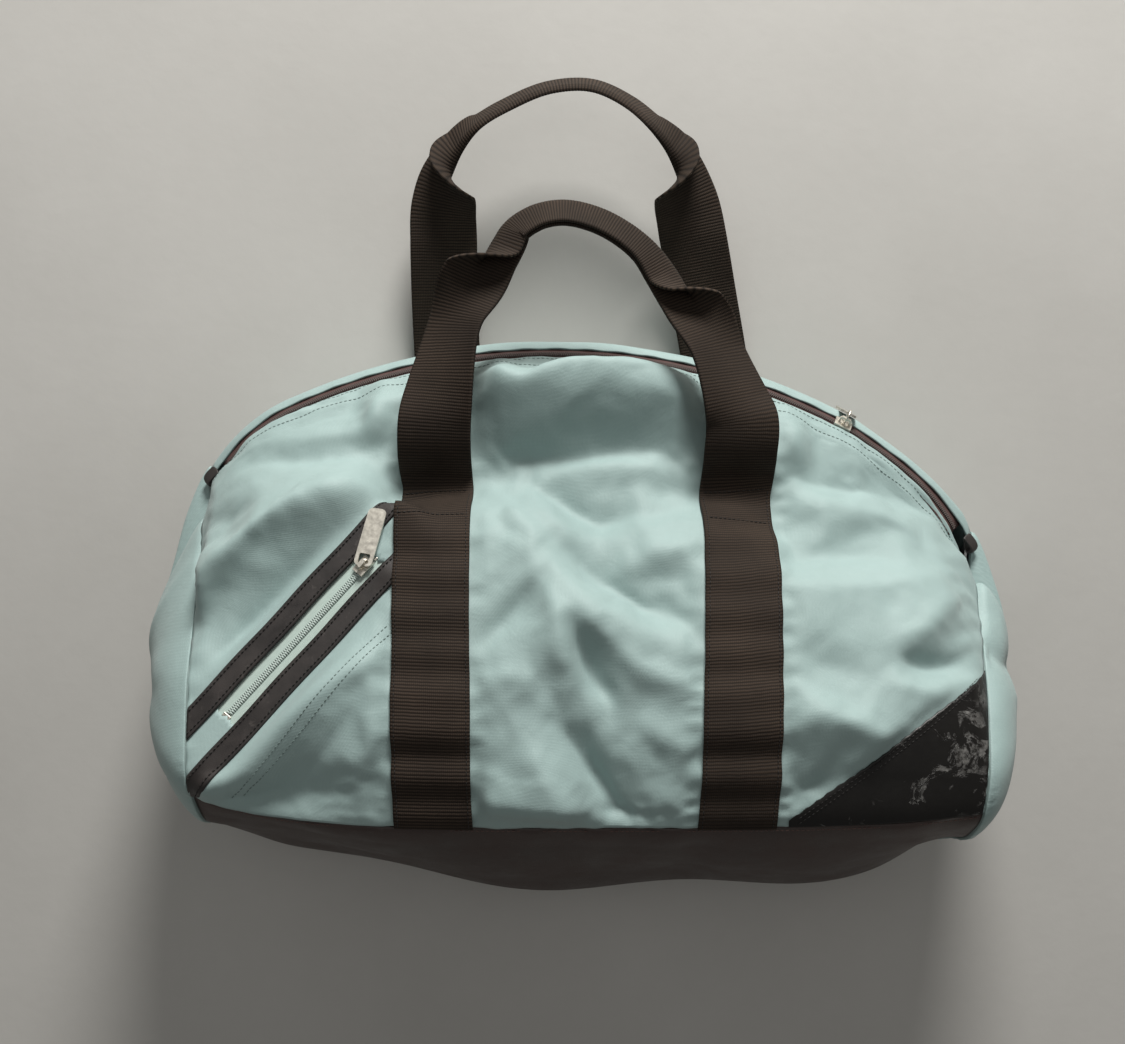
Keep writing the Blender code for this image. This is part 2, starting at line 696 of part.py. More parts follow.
def pocket_zip():
    tape_bottom = -FABRIC - LAYER_GAP - TAPE_THICKNESS
    length = POCKET_LENGTH + 0.012
    middle = POCKET_LENGTH / 2
    half_gap = SEAM_GAP / 2
    for name, side in (("upper", -1), ("lower", 1)):
        box(
            f"pocket_tape_{name}",
            (length, TAPE_WIDTH - half_gap, TAPE_THICKNESS),
            Vector((middle, side * (TAPE_WIDTH + half_gap) / 2, tape_bottom + TAPE_THICKNESS / 2)),
            POCKET,
            POCKET_TAPE,
        )
        start, end = FACING_ENDS[name]
        centre_y = side * (POCKET_SLOT + FACING_SETBACK + FACING_WIDTH / 2)
        box(
            f"pocket_facing_{name}",
            (end - start, FACING_WIDTH, FACING_THICKNESS),
            Vector(((start + end) / 2, centre_y, LAYER_GAP + FACING_THICKNESS / 2)),
            POCKET,
            FACING,
            bevel=0.0003,
        )
    coil_bottom = -FABRIC - LAYER_GAP / 2
    box(
        "pocket_coil",
        (POCKET_LENGTH - 0.006, COIL_WIDTH, COIL_THICKNESS),
        Vector((middle, 0, coil_bottom + COIL_THICKNESS / 2)),
        POCKET,
        POCKET_TAPE,
    )
    for name, place in (("top", STOP_INSET), ("bottom", POCKET_LENGTH - STOP_INSET)):
        box(
            f"pocket_stop_{name}",
            STOP_SIZE,
            Vector((place, 0, coil_bottom + STOP_SIZE[2] / 2)),
            POCKET,
            METAL,
            bevel=0.0004,
        )


def pocket_slider_and_pull():
    frame = POCKET @ Matrix.Translation((POCKET_SLIDER_START, 0, 0))
    slider("pocket_slider", frame, POCKET_SLIDER_BASE, BRIDGE_RISE)
    # The pull's bar lies under the bridge.
    bar_height = POCKET_SLIDER_BASE + SLIDER_PLATE + (BRIDGE_RISE - BRIDGE_BAR) / 2
    turn = Matrix.Rotation(POCKET_PULL_TURN, 4, "Z")
    hang = frame @ Matrix.Translation((0, 0, bar_height)) @ turn
    hang_on("pocket_pull_axis", hang, pull_tab("pocket_pull", hang))


def pocket_pouch():
    """The pocket's inner layer: a shallow tray sewn inside the front panel."""

    def steps(low, high):
        return low, low + POUCH_RIM, (low + high) / 2, high - POUCH_RIM, high

    rows = []
    for y in steps(*POUCH_ACROSS):
        row = []
        for x in steps(*POUCH_ALONG):
            on_rim = x in POUCH_ALONG or y in POUCH_ACROSS
            height = POUCH_TOP if on_rim else POUCH_TOP - POUCH_DEPTH
            row.append(POCKET @ Vector((x, y, height)))
        rows.append(row)
    sheet("pocket_pouch", rows, LINING, POUCH_THICKNESS)


# ---- Webbing


def front_strap(name, side):
    base_x, hinge_x = STRAP_X[side]
    start_t = BASE_SEAM + 0.05
    rows = []
    for share in spread(0, 1, 19):
        middle = mix(base_x, hinge_x, share)
        row = []
        for x in spread(middle - WEBBING_WIDTH / 2, middle + WEBBING_WIDTH / 2, 4):
            end_t = front_station(x, FRONT_HINGE_Y - HINGE_GAP)
            row.append(shell_point(x, mix(start_t, end_t, share), CURVED_GAP))
        rows.append(row)
    sheet(name, rows, WEBBING, WEBBING_THICKNESS, outward=True)


def back_strap(name, side):
    x = STRAP_X[side][1]
    start, end = BACK_STRAP_START, BACK_HINGE_Y - HINGE_GAP
    box(
        name,
        (WEBBING_WIDTH, end - start, WEBBING_THICKNESS),
        Vector((x, (start + end) / 2, WEBBING_THICKNESS / 2)),
        Matrix.Identity(4),
        WEBBING,
    )


ROOT_RISE = 0.0065  # the front handle's root over the sewn webbing
ROOT_CLEARANCE = 0.0002  # from the front handle's axis to the underside of its root

# Handle stations, from the left hinge over the grip to the right one: x, y, height, width and
# roll, which tips the strap's inner edge up from the horizontal.
FRONT_HANDLE = (
    (-0.100, 0.0020, 0.0000, 0.050, 0),
    (-0.100, 0.030, -0.005, 0.050, 5),
    (-0.094, 0.070, -0.012, 0.049, 35),
    (-0.085, 0.107, -0.016, 0.046, 45),
    (-0.070, 0.142, -0.018, 0.034, 50),
    (-0.040, 0.170, -0.019, 0.026, 45),
    (-0.012, 0.179, -0.019, 0.025, 45),
    (0.014, 0.174, -0.019, 0.025, 45),
    (0.042, 0.153, -0.019, 0.028, 45),
    (0.072, 0.120, -0.018, 0.040, 45),
    (0.092, 0.088, -0.016, 0.047, 40),
    (0.103, 0.055, -0.011, 0.050, 25),
    (0.108, 0.028, -0.005, 0.050, 5),
    (0.108, 0.0020, 0.0000, 0.050, 0),
)
BACK_HANDLE = (
    (-0.1000, 0.0562, 0.0013, 0.050, 0),
    (-0.1000, 0.084, 0.0045, 0.050, 0),
    (-0.1025, 0.130, 0.017, 0.050, 0),
    (-0.1020, 0.180, 0.031, 0.050, 8),
    (-0.0950, 0.222, 0.042, 0.042, 35),
    (-0.0740, 0.256, 0.050, 0.027, 65),
    (-0.0430, 0.281, 0.055, 0.025, 68),
    (-0.0080, 0.291, 0.057, 0.025, 68),
    (0.0270, 0.280, 0.055, 0.025, 68),
    (0.0560, 0.256, 0.050, 0.027, 60),
    (0.0780, 0.218, 0.042, 0.042, 30),
    (0.0870, 0.178, 0.031, 0.050, 8),
    (0.0960, 0.125, 0.017, 0.050, 0),
    (0.1080, 0.084, 0.0045, 0.050, 0),
    (0.1080, 0.0562, 0.0013, 0.050, 0),
)


def handle(name, stations, base_height, steps):
    centres = [Vector((x, y, base_height + z)) for x, y, z, _, _ in stations]
    shapes = [Vector((width, math.radians(roll))) for _, _, _, width, roll in stations]
    last = len(stations) - 1
    sweep = []
    for t in spread(0, last, steps):
        centre = hermite(centres, t, closed=False)
        ahead = hermite(centres, min(t + 0.05, last), closed=False)
        behind = hermite(centres, max(t - 0.05, 0), closed=False)
        along = (ahead - behind).normalized()
        level = along.cross(Z_AXIS).normalized()
        rise = level.cross(along)
        index = min(int(t), last - 1)
        width, roll = shapes[index].lerp(shapes[index + 1], t - index)
        across = level * math.cos(roll) + rise * math.sin(roll)
        normal = along.cross(across).normalized()
        sweep.append((centre, across, normal, width, WEBBING_THICKNESS))
    return ribbon(name, sweep, WEBBING)


def webbing():
    for side in STRAP_X:
        front_strap(f"front_strap_{side}", side)
        back_strap(f"back_strap_{side}", side)
    hinge_x = STRAP_X["left"][1]
    top = raw_height(hinge_x, FRONT_HINGE_Y) + CURVED_GAP + WEBBING_THICKNESS
    front = handle("front_handle", FRONT_HANDLE, top + ROOT_RISE, 40)
    back = handle("back_handle", BACK_HANDLE, 0.0, 43)
    axis_height = top + ROOT_RISE - WEBBING_THICKNESS / 2 - ROOT_CLEARANCE
    hang_on("front_handle_axis", Matrix.Translation((0, FRONT_HINGE_Y, axis_height)), front)
    back_axis = Matrix.Translation((0, BACK_HINGE_Y, WEBBING_THICKNESS / 2))
    hang_on("back_handle_axis", back_axis, back)


def main():
    front_panel()
    back_panel()
    base_panel()
    for name, side in (("left", -1), ("right", 1)):
        end_panel(f"end_panel_{name}", side)
        seam_binding(f"seam_binding_{name}", side)
        zip_end_tab(f"zip_end_tab_{name}", side)
    corner_patch()
    main_zip()
    main_slider_and_pull()
    pocket_zip()
    pocket_slider_and_pull()
    pocket_pouch()
    webbing()


main()
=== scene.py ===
"""The looks of a duffel bag lying on its back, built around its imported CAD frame.

Metres, in the frame's own axes: +Z out of the front panel, +X along the bag, +Y to the main zip
and the handles. The floor is at z = 0.
"""

import math

import bpy
import numpy as np
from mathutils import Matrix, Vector, noise
from mathutils.bvhtree import BVHTree


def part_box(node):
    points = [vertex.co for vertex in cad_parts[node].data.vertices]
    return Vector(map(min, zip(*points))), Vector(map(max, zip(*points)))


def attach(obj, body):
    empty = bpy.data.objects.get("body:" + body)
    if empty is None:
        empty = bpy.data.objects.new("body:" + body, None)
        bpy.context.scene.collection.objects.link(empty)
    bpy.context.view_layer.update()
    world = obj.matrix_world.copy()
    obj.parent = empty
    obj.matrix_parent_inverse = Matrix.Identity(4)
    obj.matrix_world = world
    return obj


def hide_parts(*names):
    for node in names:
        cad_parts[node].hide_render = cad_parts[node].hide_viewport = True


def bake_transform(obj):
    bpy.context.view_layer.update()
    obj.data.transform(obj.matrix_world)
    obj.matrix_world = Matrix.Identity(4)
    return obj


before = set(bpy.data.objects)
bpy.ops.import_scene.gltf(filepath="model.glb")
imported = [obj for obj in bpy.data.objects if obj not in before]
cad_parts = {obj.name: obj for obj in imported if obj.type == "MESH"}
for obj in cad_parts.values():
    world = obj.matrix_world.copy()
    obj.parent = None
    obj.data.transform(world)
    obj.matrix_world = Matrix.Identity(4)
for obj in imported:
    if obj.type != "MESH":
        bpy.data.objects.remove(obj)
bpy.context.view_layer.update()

# ---- Driving dimensions, the same design as the frame's

HALF_LENGTH = 0.262  # from the middle to an end seam
END_BULGE = {"left": 0.0430, "right": 0.0311}
END_FULLNESS = {"left": 0.68, "right": 0.55}  # a smaller power makes a fuller dome
END_CENTRE = {"left": (-0.133, 0.095), "right": (-0.160, 0.100)}  # y and z of its middle
END_BEND = 0.200  # past this the panels' ends lean to the seams' true places
END_LEAN = {"left": (0.010, -0.070), "right": (-0.002, 0.135)}
END_LEAN_Y = -0.205
SHELL = 0.0014  # the sewn fabric's thickness
FLOOR_CLEARANCE = 0.0031
ZIP_RADIUS = 0.445
ZIP_CENTRE = (-0.021, -0.359)
ZIP_HEIGHT = 0.091
ZIP_TILT = math.radians(45)
ZIP_SLOT = 0.0052
ZIP_FLAT = 0.012
ARC_END = {"left": 0.205, "right": 0.192}
END_DROP_Y = {"left": 0.028, "right": 0.048}
END_DROP_Z = 0.009
POCKET_TOP, POCKET_BOTTOM = (-0.137, -0.056), (-0.231, -0.161)
POCKET_FLAT, POCKET_FADE, POCKET_RAISE = 0.029, 0.035, 0.0025
POCKET_SLOT = 0.0070
FACING_WIDTH, FACING_SETBACK = 0.0155, 0.0012
WEB_WIDTH, WEB_THICKNESS = 0.050, 0.0020
STRAP_X = {"left": (-0.095, -0.100), "right": (0.098, 0.108)}
FRONT_HINGE_Y = 0.001
RIB_PITCH, RIB_DEPTH = 0.0022, 0.00008
SEAM_GAP = 0.0004  # between a panel's edge and the end seam
SEW_GAP = 0.012  # the same at the base seams, in stations
BASE_SEAM_Y, BASE_SEAM_BOW = -0.228, 0.018  # the front panel's lower edge, seen from above

# Base points: y and z at the middle of the bag, at the left end seam and at the right one.
BASE_SECTION = (
    ((-0.225, 0.003), (-0.198, 0.003), (-0.205, 0.003)),
    ((-0.267, 0.018), (-0.226, 0.020), (-0.238, 0.020)),
    ((-0.2960, 0.062), (-0.245, 0.062), (-0.258, 0.062)),
    ((-0.276, 0.125), (-0.238, 0.128), (-0.250, 0.128)),
    ((-0.249, 0.180), (-0.226, 0.178), (-0.238, 0.178)),
    ((-0.229, 0.206), (-0.208, 0.197), (-0.221, 0.199)),
)
FRONT_SECTION = (
    (0.12, 0.213, 0.201),
    (0.34, 0.203, 0.184),
    (0.57, 0.178, 0.155),
    (0.76, 0.142, 0.124),
    (0.90, 0.116, 0.101),
)
BACK_SECTION = ((0.0085, -0.029), (-0.002, -0.062), (-0.034, -0.085))
FLOOR_POINTS = (0.35, 0.70)

BASE_SEAM = len(BASE_SECTION) - 1
ZIP_STATION = BASE_SEAM + len(FRONT_SECTION) + 2
STATIONS = ZIP_STATION + 2 + len(BACK_SECTION) + len(FLOOR_POINTS)
FRONT_EDGE = ZIP_STATION - ZIP_SLOT / ZIP_FLAT
BACK_EDGE = ZIP_STATION + ZIP_SLOT / ZIP_FLAT


def mix(a, b, share):
    return a + (b - a) * share


def smooth_step(share):
    share = np.clip(share, 0.0, 1.0)
    return share * share * (3 - 2 * share)


def unit(vectors):
    return vectors / np.maximum(np.linalg.norm(vectors, axis=-1, keepdims=True), 1e-12)


def lengths_along(line):
    """How far along a line of points each of them lies."""
    return np.concatenate([[0], np.cumsum(np.linalg.norm(np.diff(line, axis=0), axis=1))])


def smooth_curve(points, t, closed=False):
    """Points of a smooth curve through the given ones, at each value of t."""
    points = np.asarray(points, float)
    t = np.asarray(t, float)
    count = len(points)
    if closed:
        around = np.vstack([points[-1], points, points[:2]])
    else:
        around = np.vstack([2 * points[0] - points[1], points, 2 * points[-1] - points[-2]])
    steps = np.diff(around, axis=0)
    lengths = np.maximum(np.linalg.norm(steps, axis=1, keepdims=True), 1e-9)
    before, after = lengths[:-1], lengths[1:]
    slopes = steps[:-1] / before * after + steps[1:] / after * before
    slopes = slopes / (before + after)
    last = count if closed else count - 1
    index = np.clip(np.floor(t).astype(int), 0, last - 1)
    share = (t - index)[..., None]
    start, end = points[index], points[(index + 1) % count]
    span = np.linalg.norm(end - start, axis=-1, keepdims=True)
    start_slope = slopes[index] * span
    end_slope = slopes[(index + 1) % len(slopes)] * span
    square, cube = share**2, share**3
    return (
        start * (2 * cube - 3 * square + 1)
        + start_slope * (cube - 2 * square + share)
        + end * (3 * square - 2 * cube)
        + end_slope * (cube - square)
    )


# ---- The shell's smooth form


def side_of(x):
    return "left" if x < 0 else "right"


def leaning_x(x, y):
    """Where points of the flat layout at one x lie along the bag, once the end seams lean."""
    shift, lean = END_LEAN[side_of(x)]
    bend = smooth_step((abs(x) - END_BEND) / (HALF_LENGTH - END_BEND))
    return x + (shift + lean * (y - END_LEAN_Y)) * bend


def flat_x(x, y):
    """The flat layout's x for a true place."""
    found = x
    for _ in range(6):
        found += x - leaning_x(found, y)
    return found


def zip_line(x):
    side = side_of(x)
    reach = math.sqrt(ZIP_RADIUS**2 - (x - ZIP_CENTRE[0]) ** 2)
    drop = max(0.0, (abs(x) - ARC_END[side]) / (HALF_LENGTH - ARC_END[side])) ** 2
    y = ZIP_CENTRE[1] + reach - END_DROP_Y[side] * drop
    return np.array((leaning_x(x, y), y, ZIP_HEIGHT - END_DROP_Z * drop))


def zip_axes(x):
    """The zip's direction, its outward normal and the way across it to the back panel."""
    along = unit(zip_line(x + 0.002) - zip_line(x - 0.002))
    outward = unit(np.cross((0, 0, 1), along))
    normal = outward * math.cos(ZIP_TILT) + np.array((0, 0, 1)) * math.sin(ZIP_TILT)
    return along, normal, unit(np.cross(normal, along))


def section(x):
    ends = (x / HALF_LENGTH) ** 2
    crest = zip_line(x)
    flare = 1 / max(abs(zip_axes(x)[0][0]), 0.4)
    flat_y, flat_z = ZIP_FLAT * math.sin(ZIP_TILT) * flare, ZIP_FLAT * math.cos(ZIP_TILT)
    points = []
    for index, (middle, left, right) in enumerate(BASE_SECTION):
        square_cornered = x > 0 or index == BASE_SEAM
        share = ends**2 if square_cornered else ends
        points.append(mix(np.array(middle), np.array(left if x < 0 else right), share))
    seam_y = points[-1][0]
    for share, middle_z, end_z in FRONT_SECTION:
        points.append((mix(seam_y, crest[1], share), mix(middle_z, end_z, ends)))
    points.append((crest[1] - flat_y, crest[2] + flat_z))
    points.append((crest[1], crest[2]))
    points.append((crest[1] + flat_y, crest[2] - flat_z))
    points += [(crest[1] + y, crest[2] + z) for y, z in BACK_SECTION]
    last_y = points[-1][0]
    points += [(mix(last_y, points[0][0], share), FLOOR_CLEARANCE) for share in FLOOR_POINTS]
    return points


def raw_shell(x_values, t_values):
    """The shell's points, one row for each t and one column for each x."""
    grid = np.empty((len(t_values), len(x_values), 3))
    for column, x in enumerate(x_values):
        place = smooth_curve(section(x), t_values, closed=True)
        grid[:, column, 0] = leaning_x(x, place[:, 0])
        grid[:, column, 1:] = place
    grid[..., 2] = np.maximum(grid[..., 2], FLOOR_CLEARANCE)
    return grid


FRONT_T = np.linspace(BASE_SEAM, ZIP_STATION, 200)


def front_station(x, y):
    """The station where the front panel reaches y at x."""
    return float(np.interp(y, smooth_curve(section(x), FRONT_T, closed=True)[:, 0], FRONT_T))


def raw_height(x, y):
    profile = smooth_curve(section(x), FRONT_T, closed=True)
    return float(np.interp(y, profile[:, 0], profile[:, 1]))


def pocket_frame():
    """The origin and the axes of the pocket zip: along, across and out of the panel."""
    top = np.array((*POCKET_TOP, raw_height(*POCKET_TOP) + POCKET_RAISE))
    bottom = np.array((*POCKET_BOTTOM, raw_height(*POCKET_BOTTOM) + POCKET_RAISE))
    along = unit(bottom - top)
    sideways = unit(np.cross((0, 0, 1), along)) * FACING_WIDTH
    high, low = (top + bottom) / 2 + sideways, (top + bottom) / 2 - sideways
    high[2], low[2] = raw_height(*high[:2]), raw_height(*low[:2])
    normal = unit(np.cross(along, high - low))
    return top, along, np.cross(normal, along), normal


POCKET_ORIGIN, POCKET_ALONG, POCKET_ACROSS, POCKET_NORMAL = pocket_frame()
POCKET_LENGTH = math.dist(POCKET_TOP, POCKET_BOTTOM)


def pocket_local(points):
    offset = points - POCKET_ORIGIN
    return offset @ POCKET_ALONG, offset @ POCKET_ACROSS, offset @ POCKET_NORMAL


def pocket_flatness(points):
    along, across, _ = pocket_local(points)
    beyond = np.maximum(0, np.maximum(-along, along - POCKET_LENGTH))
    return smooth_step(1 - (np.hypot(across, beyond) - POCKET_FLAT) / POCKET_FADE)


# ---- Folds


def path_distance(x, y, path):
    """Each point's distance from a broken line, how far along it, and whether on its left."""
    best = np.full(x.shape, 1e9)
    share = np.zeros(x.shape)
    left = np.zeros(x.shape, bool)
    lengths = [math.dist(a, b) for a, b in zip(path, path[1:])]
    gone = 0.0
    for (ax, ay), (bx, by), length in zip(path, path[1:], lengths):
        foot = np.clip(((x - ax) * (bx - ax) + (y - ay) * (by - ay)) / length**2, 0, 1)
        distance = np.hypot(x - ax - foot * (bx - ax), y - ay - foot * (by - ay))
        nearer = distance < best
        best = np.where(nearer, distance, best)
        share = np.where(nearer, (gone + foot * length) / sum(lengths), share)
        turned = (bx - ax) * (y - ay) - (by - ay) * (x - ax) > 0
        left = np.where(nearer, turned, left)
        gone += length
    return best, share, left


FOLD_RADIUS = 0.0028  # how tightly the fabric bends over a fold
FOLD_DEPTH = 1.4  # scales every height in the front panel's tables


def fold(x, y, row):
    """A ridge, or a valley where its height is negative, that dies away at its ends."""
    path, height, width, far_width = row
    distance, share, left = path_distance(x, y, [(a / 1000, b / 1000) for a, b in path])
    fade = np.sqrt(np.clip(np.sin(np.pi * np.clip(share, 0.05, 0.95)), 0, 1))
    wide = np.where(left, far_width / 1000, width / 1000)
    blunt = np.hypot(distance, FOLD_RADIUS) - FOLD_RADIUS
    return height / 1000 * fade * np.exp(-blunt / wide)


# Each fold in millimetres: its path in plan, its height, and its half width to the right of the
# path and then to the left of it.
CENTRE_FOLDS = (
    (((-74, 60), (-40, 48), (-5, 60), (72, 59)), 12, 18, 8),
    (((-74, 18), (-10, 15), (72, 21)), -8, 9, 24),
    (((-40, 6), (-10, 8), (26, 7), (70, 2)), 10, 9, 13),
    (((-34, -2), (-8, -16), (14, -26), (44, -20)), -14, 17, 9),
    (((36, -4), (43, -14), (38, -26)), 4, 8, 7),
    (((-36, -4), (-20, -22), (-7, -46)), 6, 26, 10),
    (((-18, -44), (8, -68), (39, -88), (72, -99)), -16, 8, 26),
    (((-24, -62), (12, -92), (60, -112)), 5, 15, 7),
    (((36, -56), (52, -54), (70, -50)), 4, 5, 8),
    (((36, -66), (52, -66), (70, -70)), -3, 6, 5),
    (((-24, -74), (-44, -92), (-66, -114)), -6, 6, 9),
    (((-20, -87), (-13, -110), (-8, -136)), 9, 18, 5),
    (((-19, -88), (2, -98), (24, -118)), 6, 5, 11),
    (((-7, -104), (6, -130), (20, -150)), -9, 5, 10),
    (((20, -116), (42, -132), (70, -140)), 6, 9, 13),
    (((-16, -158), (-2, -182), (32, -230)), -12, 8, 16),
    (((-36, -172), (-22, -198), (0, -226)), 7, 22, 7),
    (((30, -160), (50, -172), (70, -178)), 4, 8, 12),
    (((-72, -211), (-34, -213), (4, -215)), 8, 5, 26),
    (((-70, -140), (-48, -134), (-26, -142)), 4, 10, 14),
    (((-40, 74), (-20, 70), (10, 73)), -3, 5, 5),
)
LEFT_FOLDS = (
    (((-262, -104), (-236, -74), (-205, -48), (-166, -27), (-124, -10)), 23, 8, 44),
    (((-246, -132), (-222, -102), (-190, -74), (-158, -52), (-132, -34)), -13, 12, 12),
    (((-224, -2), (-186, 1), (-150, 10), (-126, 22)), -5, 10, 9),
    (((-228, 14), (-190, 15), (-150, 24), (-126, 36)), 3, 6, 14),
    (((-258, -38), (-232, -40), (-206, -30)), -5, 7, 9),
    (((-256, -60), (-238, -52), (-222, -48)), -4, 5, 6),
    (((-248, -206), (-205, -172), (-160, -140), (-124, -116)), 11, 14, 22),
    (((-240, -214), (-190, -206), (-136, -204)), -6, 18, 16),
    (((-144, -196), (-134, -176), (-127, -154)), 5, 7, 8),
)
RIGHT_FOLDS = (
    (((128, 8), (160, -4), (200, -10), (236, -24)), -7, 10, 18),
    (((130, -16), (170, -24), (205, -32), (240, -44)), 4, 9, 10),
    (((128, -58), (160, -54), (190, -56), (222, -64)), -8, 11, 20),
    (((130, -76), (170, -78), (206, -76), (240, -78)), 4, 14, 10),
    (((202, -123), (226, -104), (254, -84)), 9, 11, 24),
    (((200, -124), (228, -131), (258, -129)), -10, 5, 10),
    (((194, -138), (222, -146), (250, -144)), 4, 10, 8),
    (((136, -122), (168, -132), (194, -130)), -4, 14, 14),
    (((126, -160), (150, -158), (176, -166), (198, -178)), 10, 16, 14),
    (((132, -208), (152, -202), (172, -198)), -6, 12, 10),
    (((244, -4), (258, -26), (270, -50)), -6, 7, 7),
    (((262, -60), (272, -56), (280, -58)), 3, 4, 4),
)


def crest_y(x):
    return ZIP_CENTRE[1] + np.sqrt(ZIP_RADIUS**2 - (x - ZIP_CENTRE[0]) ** 2)


def broad_form(x, y):
    """The stuffed panel's own shape: a rim behind the zip, a hollow and a brow over the base."""
    gap = crest_y(np.clip(x, -0.2, 0.2)) - y
    rim = 0.021 * np.exp(-(((gap - 0.032) / 0.019) ** 2))
    hollow = 0.017 * np.exp(-(((gap - 0.082) / 0.024) ** 2))
    middle = smooth_step((x + 0.160) / 0.034) * smooth_step((0.168 - x) / 0.034)
    for _, hinge_x in STRAP_X.values():
        rim = rim * (0.25 + 0.75 * smooth_step((np.abs(x - hinge_x) - WEB_WIDTH / 2) / 0.022))
    between = smooth_step((0.085 - np.abs(x - 0.002)) / 0.025)
    brow = 0.005 * np.exp(-(((y + 0.150) / 0.034) ** 2)) * (1 - between)
    return (rim - hollow) * middle + brow


HANDLE_ROOT = 0.036  # how far past its stitching a handle lies over the panel


def strap_gaps(x, y, most):
    """How far points lie outside each front strap's edges."""
    share = np.clip((y - BASE_SEAM_Y) / (FRONT_HINGE_Y - BASE_SEAM_Y), 0, most)
    return [np.abs(x - mix(*ends, share)) - WEB_WIDTH / 2 for ends in STRAP_X.values()]


def strap_clear(x, y):
    """0 under a front strap, rising to 1 a little way from it."""
    clear = np.ones(np.shape(x))
    beyond = np.maximum(0, y - FRONT_HINGE_Y - HANDLE_ROOT)  # past the handle's root
    for gap in strap_gaps(x, y, 1.3):
        clear = np.minimum(clear, smooth_step(np.hypot(np.maximum(gap, 0), beyond) / 0.012))
    return clear


def strap_ripple(y):
    """The sewn webbing's gentle ripples, shared with the panel under it."""
    return 0.0011 * np.sin(y / 0.0085 + 2.0 * np.sin(y / 0.031)) + 0.0007 * np.sin(y / 0.0040)


def front_height(points):
    """How far the folds move the front panel's points along its normal."""
    x, y = points[..., 0], points[..., 1]
    height = np.zeros(x.shape)
    for row in (*CENTRE_FOLDS, *LEFT_FOLDS, *RIGHT_FOLDS):
        height += FOLD_DEPTH * fold(x, y, row)
    along, across, _ = pocket_local(points)
    beyond = np.maximum(0, np.maximum(-along - 0.012, along - POCKET_LENGTH - 0.012))
    pocket = smooth_step((np.hypot(across, beyond) - 0.0250) / 0.012)
    clear = strap_clear(x, y)
    ripple = (1 - clear) * strap_ripple(y)
    patch = smooth_step((patch_edge(points) + 0.002) / 0.012)
    return (height * clear * patch + broad_form(x, y)) * pocket + ripple


PATCH_LEFT, PATCH_RIGHT = 0.131, HALF_LENGTH - 0.002
PATCH_Y = (-0.2235, -0.134)


def patch_edge(points):
    """The distance above the corner patch's slanting edge, negative under the patch."""
    run = np.array((PATCH_RIGHT - PATCH_LEFT, PATCH_Y[1] - PATCH_Y[0]))
    lean = unit(np.array((-run[1], run[0])))
    offset = (points[..., 0] - PATCH_LEFT) * lean[0] + (points[..., 1] - PATCH_Y[0]) * lean[1]
    return np.where(points[..., 0] < PATCH_LEFT, 1.0, offset)


def shell_grid(x_values, t_values, folds=True):
    """The shell's points and outward normals, with the pocket's flat stretch and the folds."""
    grid = raw_shell(x_values, t_values)
    t = np.asarray(t_values)[:, None]
    on_front = (t > BASE_SEAM) & (t < ZIP_STATION)
    flat = pocket_flatness(grid) * on_front
    grid[..., 2] -= flat * pocket_local(grid)[2] / POCKET_NORMAL[2]
    normals = grid_normals(grid)
    if folds:
        edge = smooth_step((t - BASE_SEAM) / 0.35) * smooth_step((FRONT_EDGE - t) / 0.6)
        side = smooth_step((HALF_LENGTH - np.abs(np.asarray(x_values))) / 0.016)
        height = np.where(on_front, front_height(grid) * edge * side, 0)
        grid = grid + normals * height[..., None]
        normals = grid_normals(grid)
    return grid, normals


def grid_normals(grid):
    around = np.gradient(grid, axis=0)
    along = np.gradient(grid, axis=1)
    return unit(np.cross(along, around))


class Surface:
    """The folded shell over a range of stations, which gives a point and a normal anywhere."""

    def __init__(self, first, last, step_x=0.0025, rows=150, folds=True):
        count = int(round(2 * HALF_LENGTH / step_x)) + 1
        self.x = np.linspace(-HALF_LENGTH, HALF_LENGTH, count)
        self.t = np.linspace(first, last, rows)
        self.points, self.normals = shell_grid(self.x, self.t, folds)

    def at(self, x, t, lift=0.0):
        x, t = np.broadcast_arrays(np.asarray(x, float), np.asarray(t, float))
        column = (np.clip(x, self.x[0], self.x[-1]) - self.x[0]) / (self.x[1] - self.x[0])
        row = (np.clip(t, self.t[0], self.t[-1]) - self.t[0]) / (self.t[1] - self.t[0])
        i = np.clip(column.astype(int), 0, len(self.x) - 2)
        j = np.clip(row.astype(int), 0, len(self.t) - 2)
        u, v = (column - i)[..., None], (row - j)[..., None]

        def blend(values):
            low = values[j, i] * (1 - u) + values[j, i + 1] * u
            high = values[j + 1, i] * (1 - u) + values[j + 1, i + 1] * u
            return low * (1 - v) + high * v

        lift = np.asarray(lift, float)
        if lift.ndim:
            lift = lift[..., None]
        return blend(self.points) + unit(blend(self.normals)) * lift

    def at_plan(self, x, y, lift=0.0):
        """The surface's points over points of the floor."""
        x, y = np.broadcast_arrays(np.asarray(x, float), np.asarray(y, float))
        flat = np.array([flat_x(a, b) for a, b in zip(x.ravel(), y.ravel())])
        t = np.array([front_station(a, b) for a, b in zip(flat, y.ravel())])
        return self.at(flat.reshape(x.shape), t.reshape(x.shape), lift)


# ---- Meshes


def link_object(name, data):
    item = bpy.data.objects.new(name, data)
    bpy.context.scene.collection.objects.link(item)
    return item


def new_mesh(name, points, faces, material, uvs=None):
    mesh = bpy.data.meshes.new(name)
    mesh.from_pydata(np.asarray(points).tolist(), [], faces)
    if uvs is not None:
        layer = mesh.uv_layers.new(name="metres")
        index = np.empty(len(mesh.loops), np.int32)
        mesh.loops.foreach_get("vertex_index", index)
        layer.data.foreach_set("uv", np.asarray(uvs, np.float32)[index].ravel())
    mesh.materials.append(material)
    mesh.shade_smooth()
    return mesh


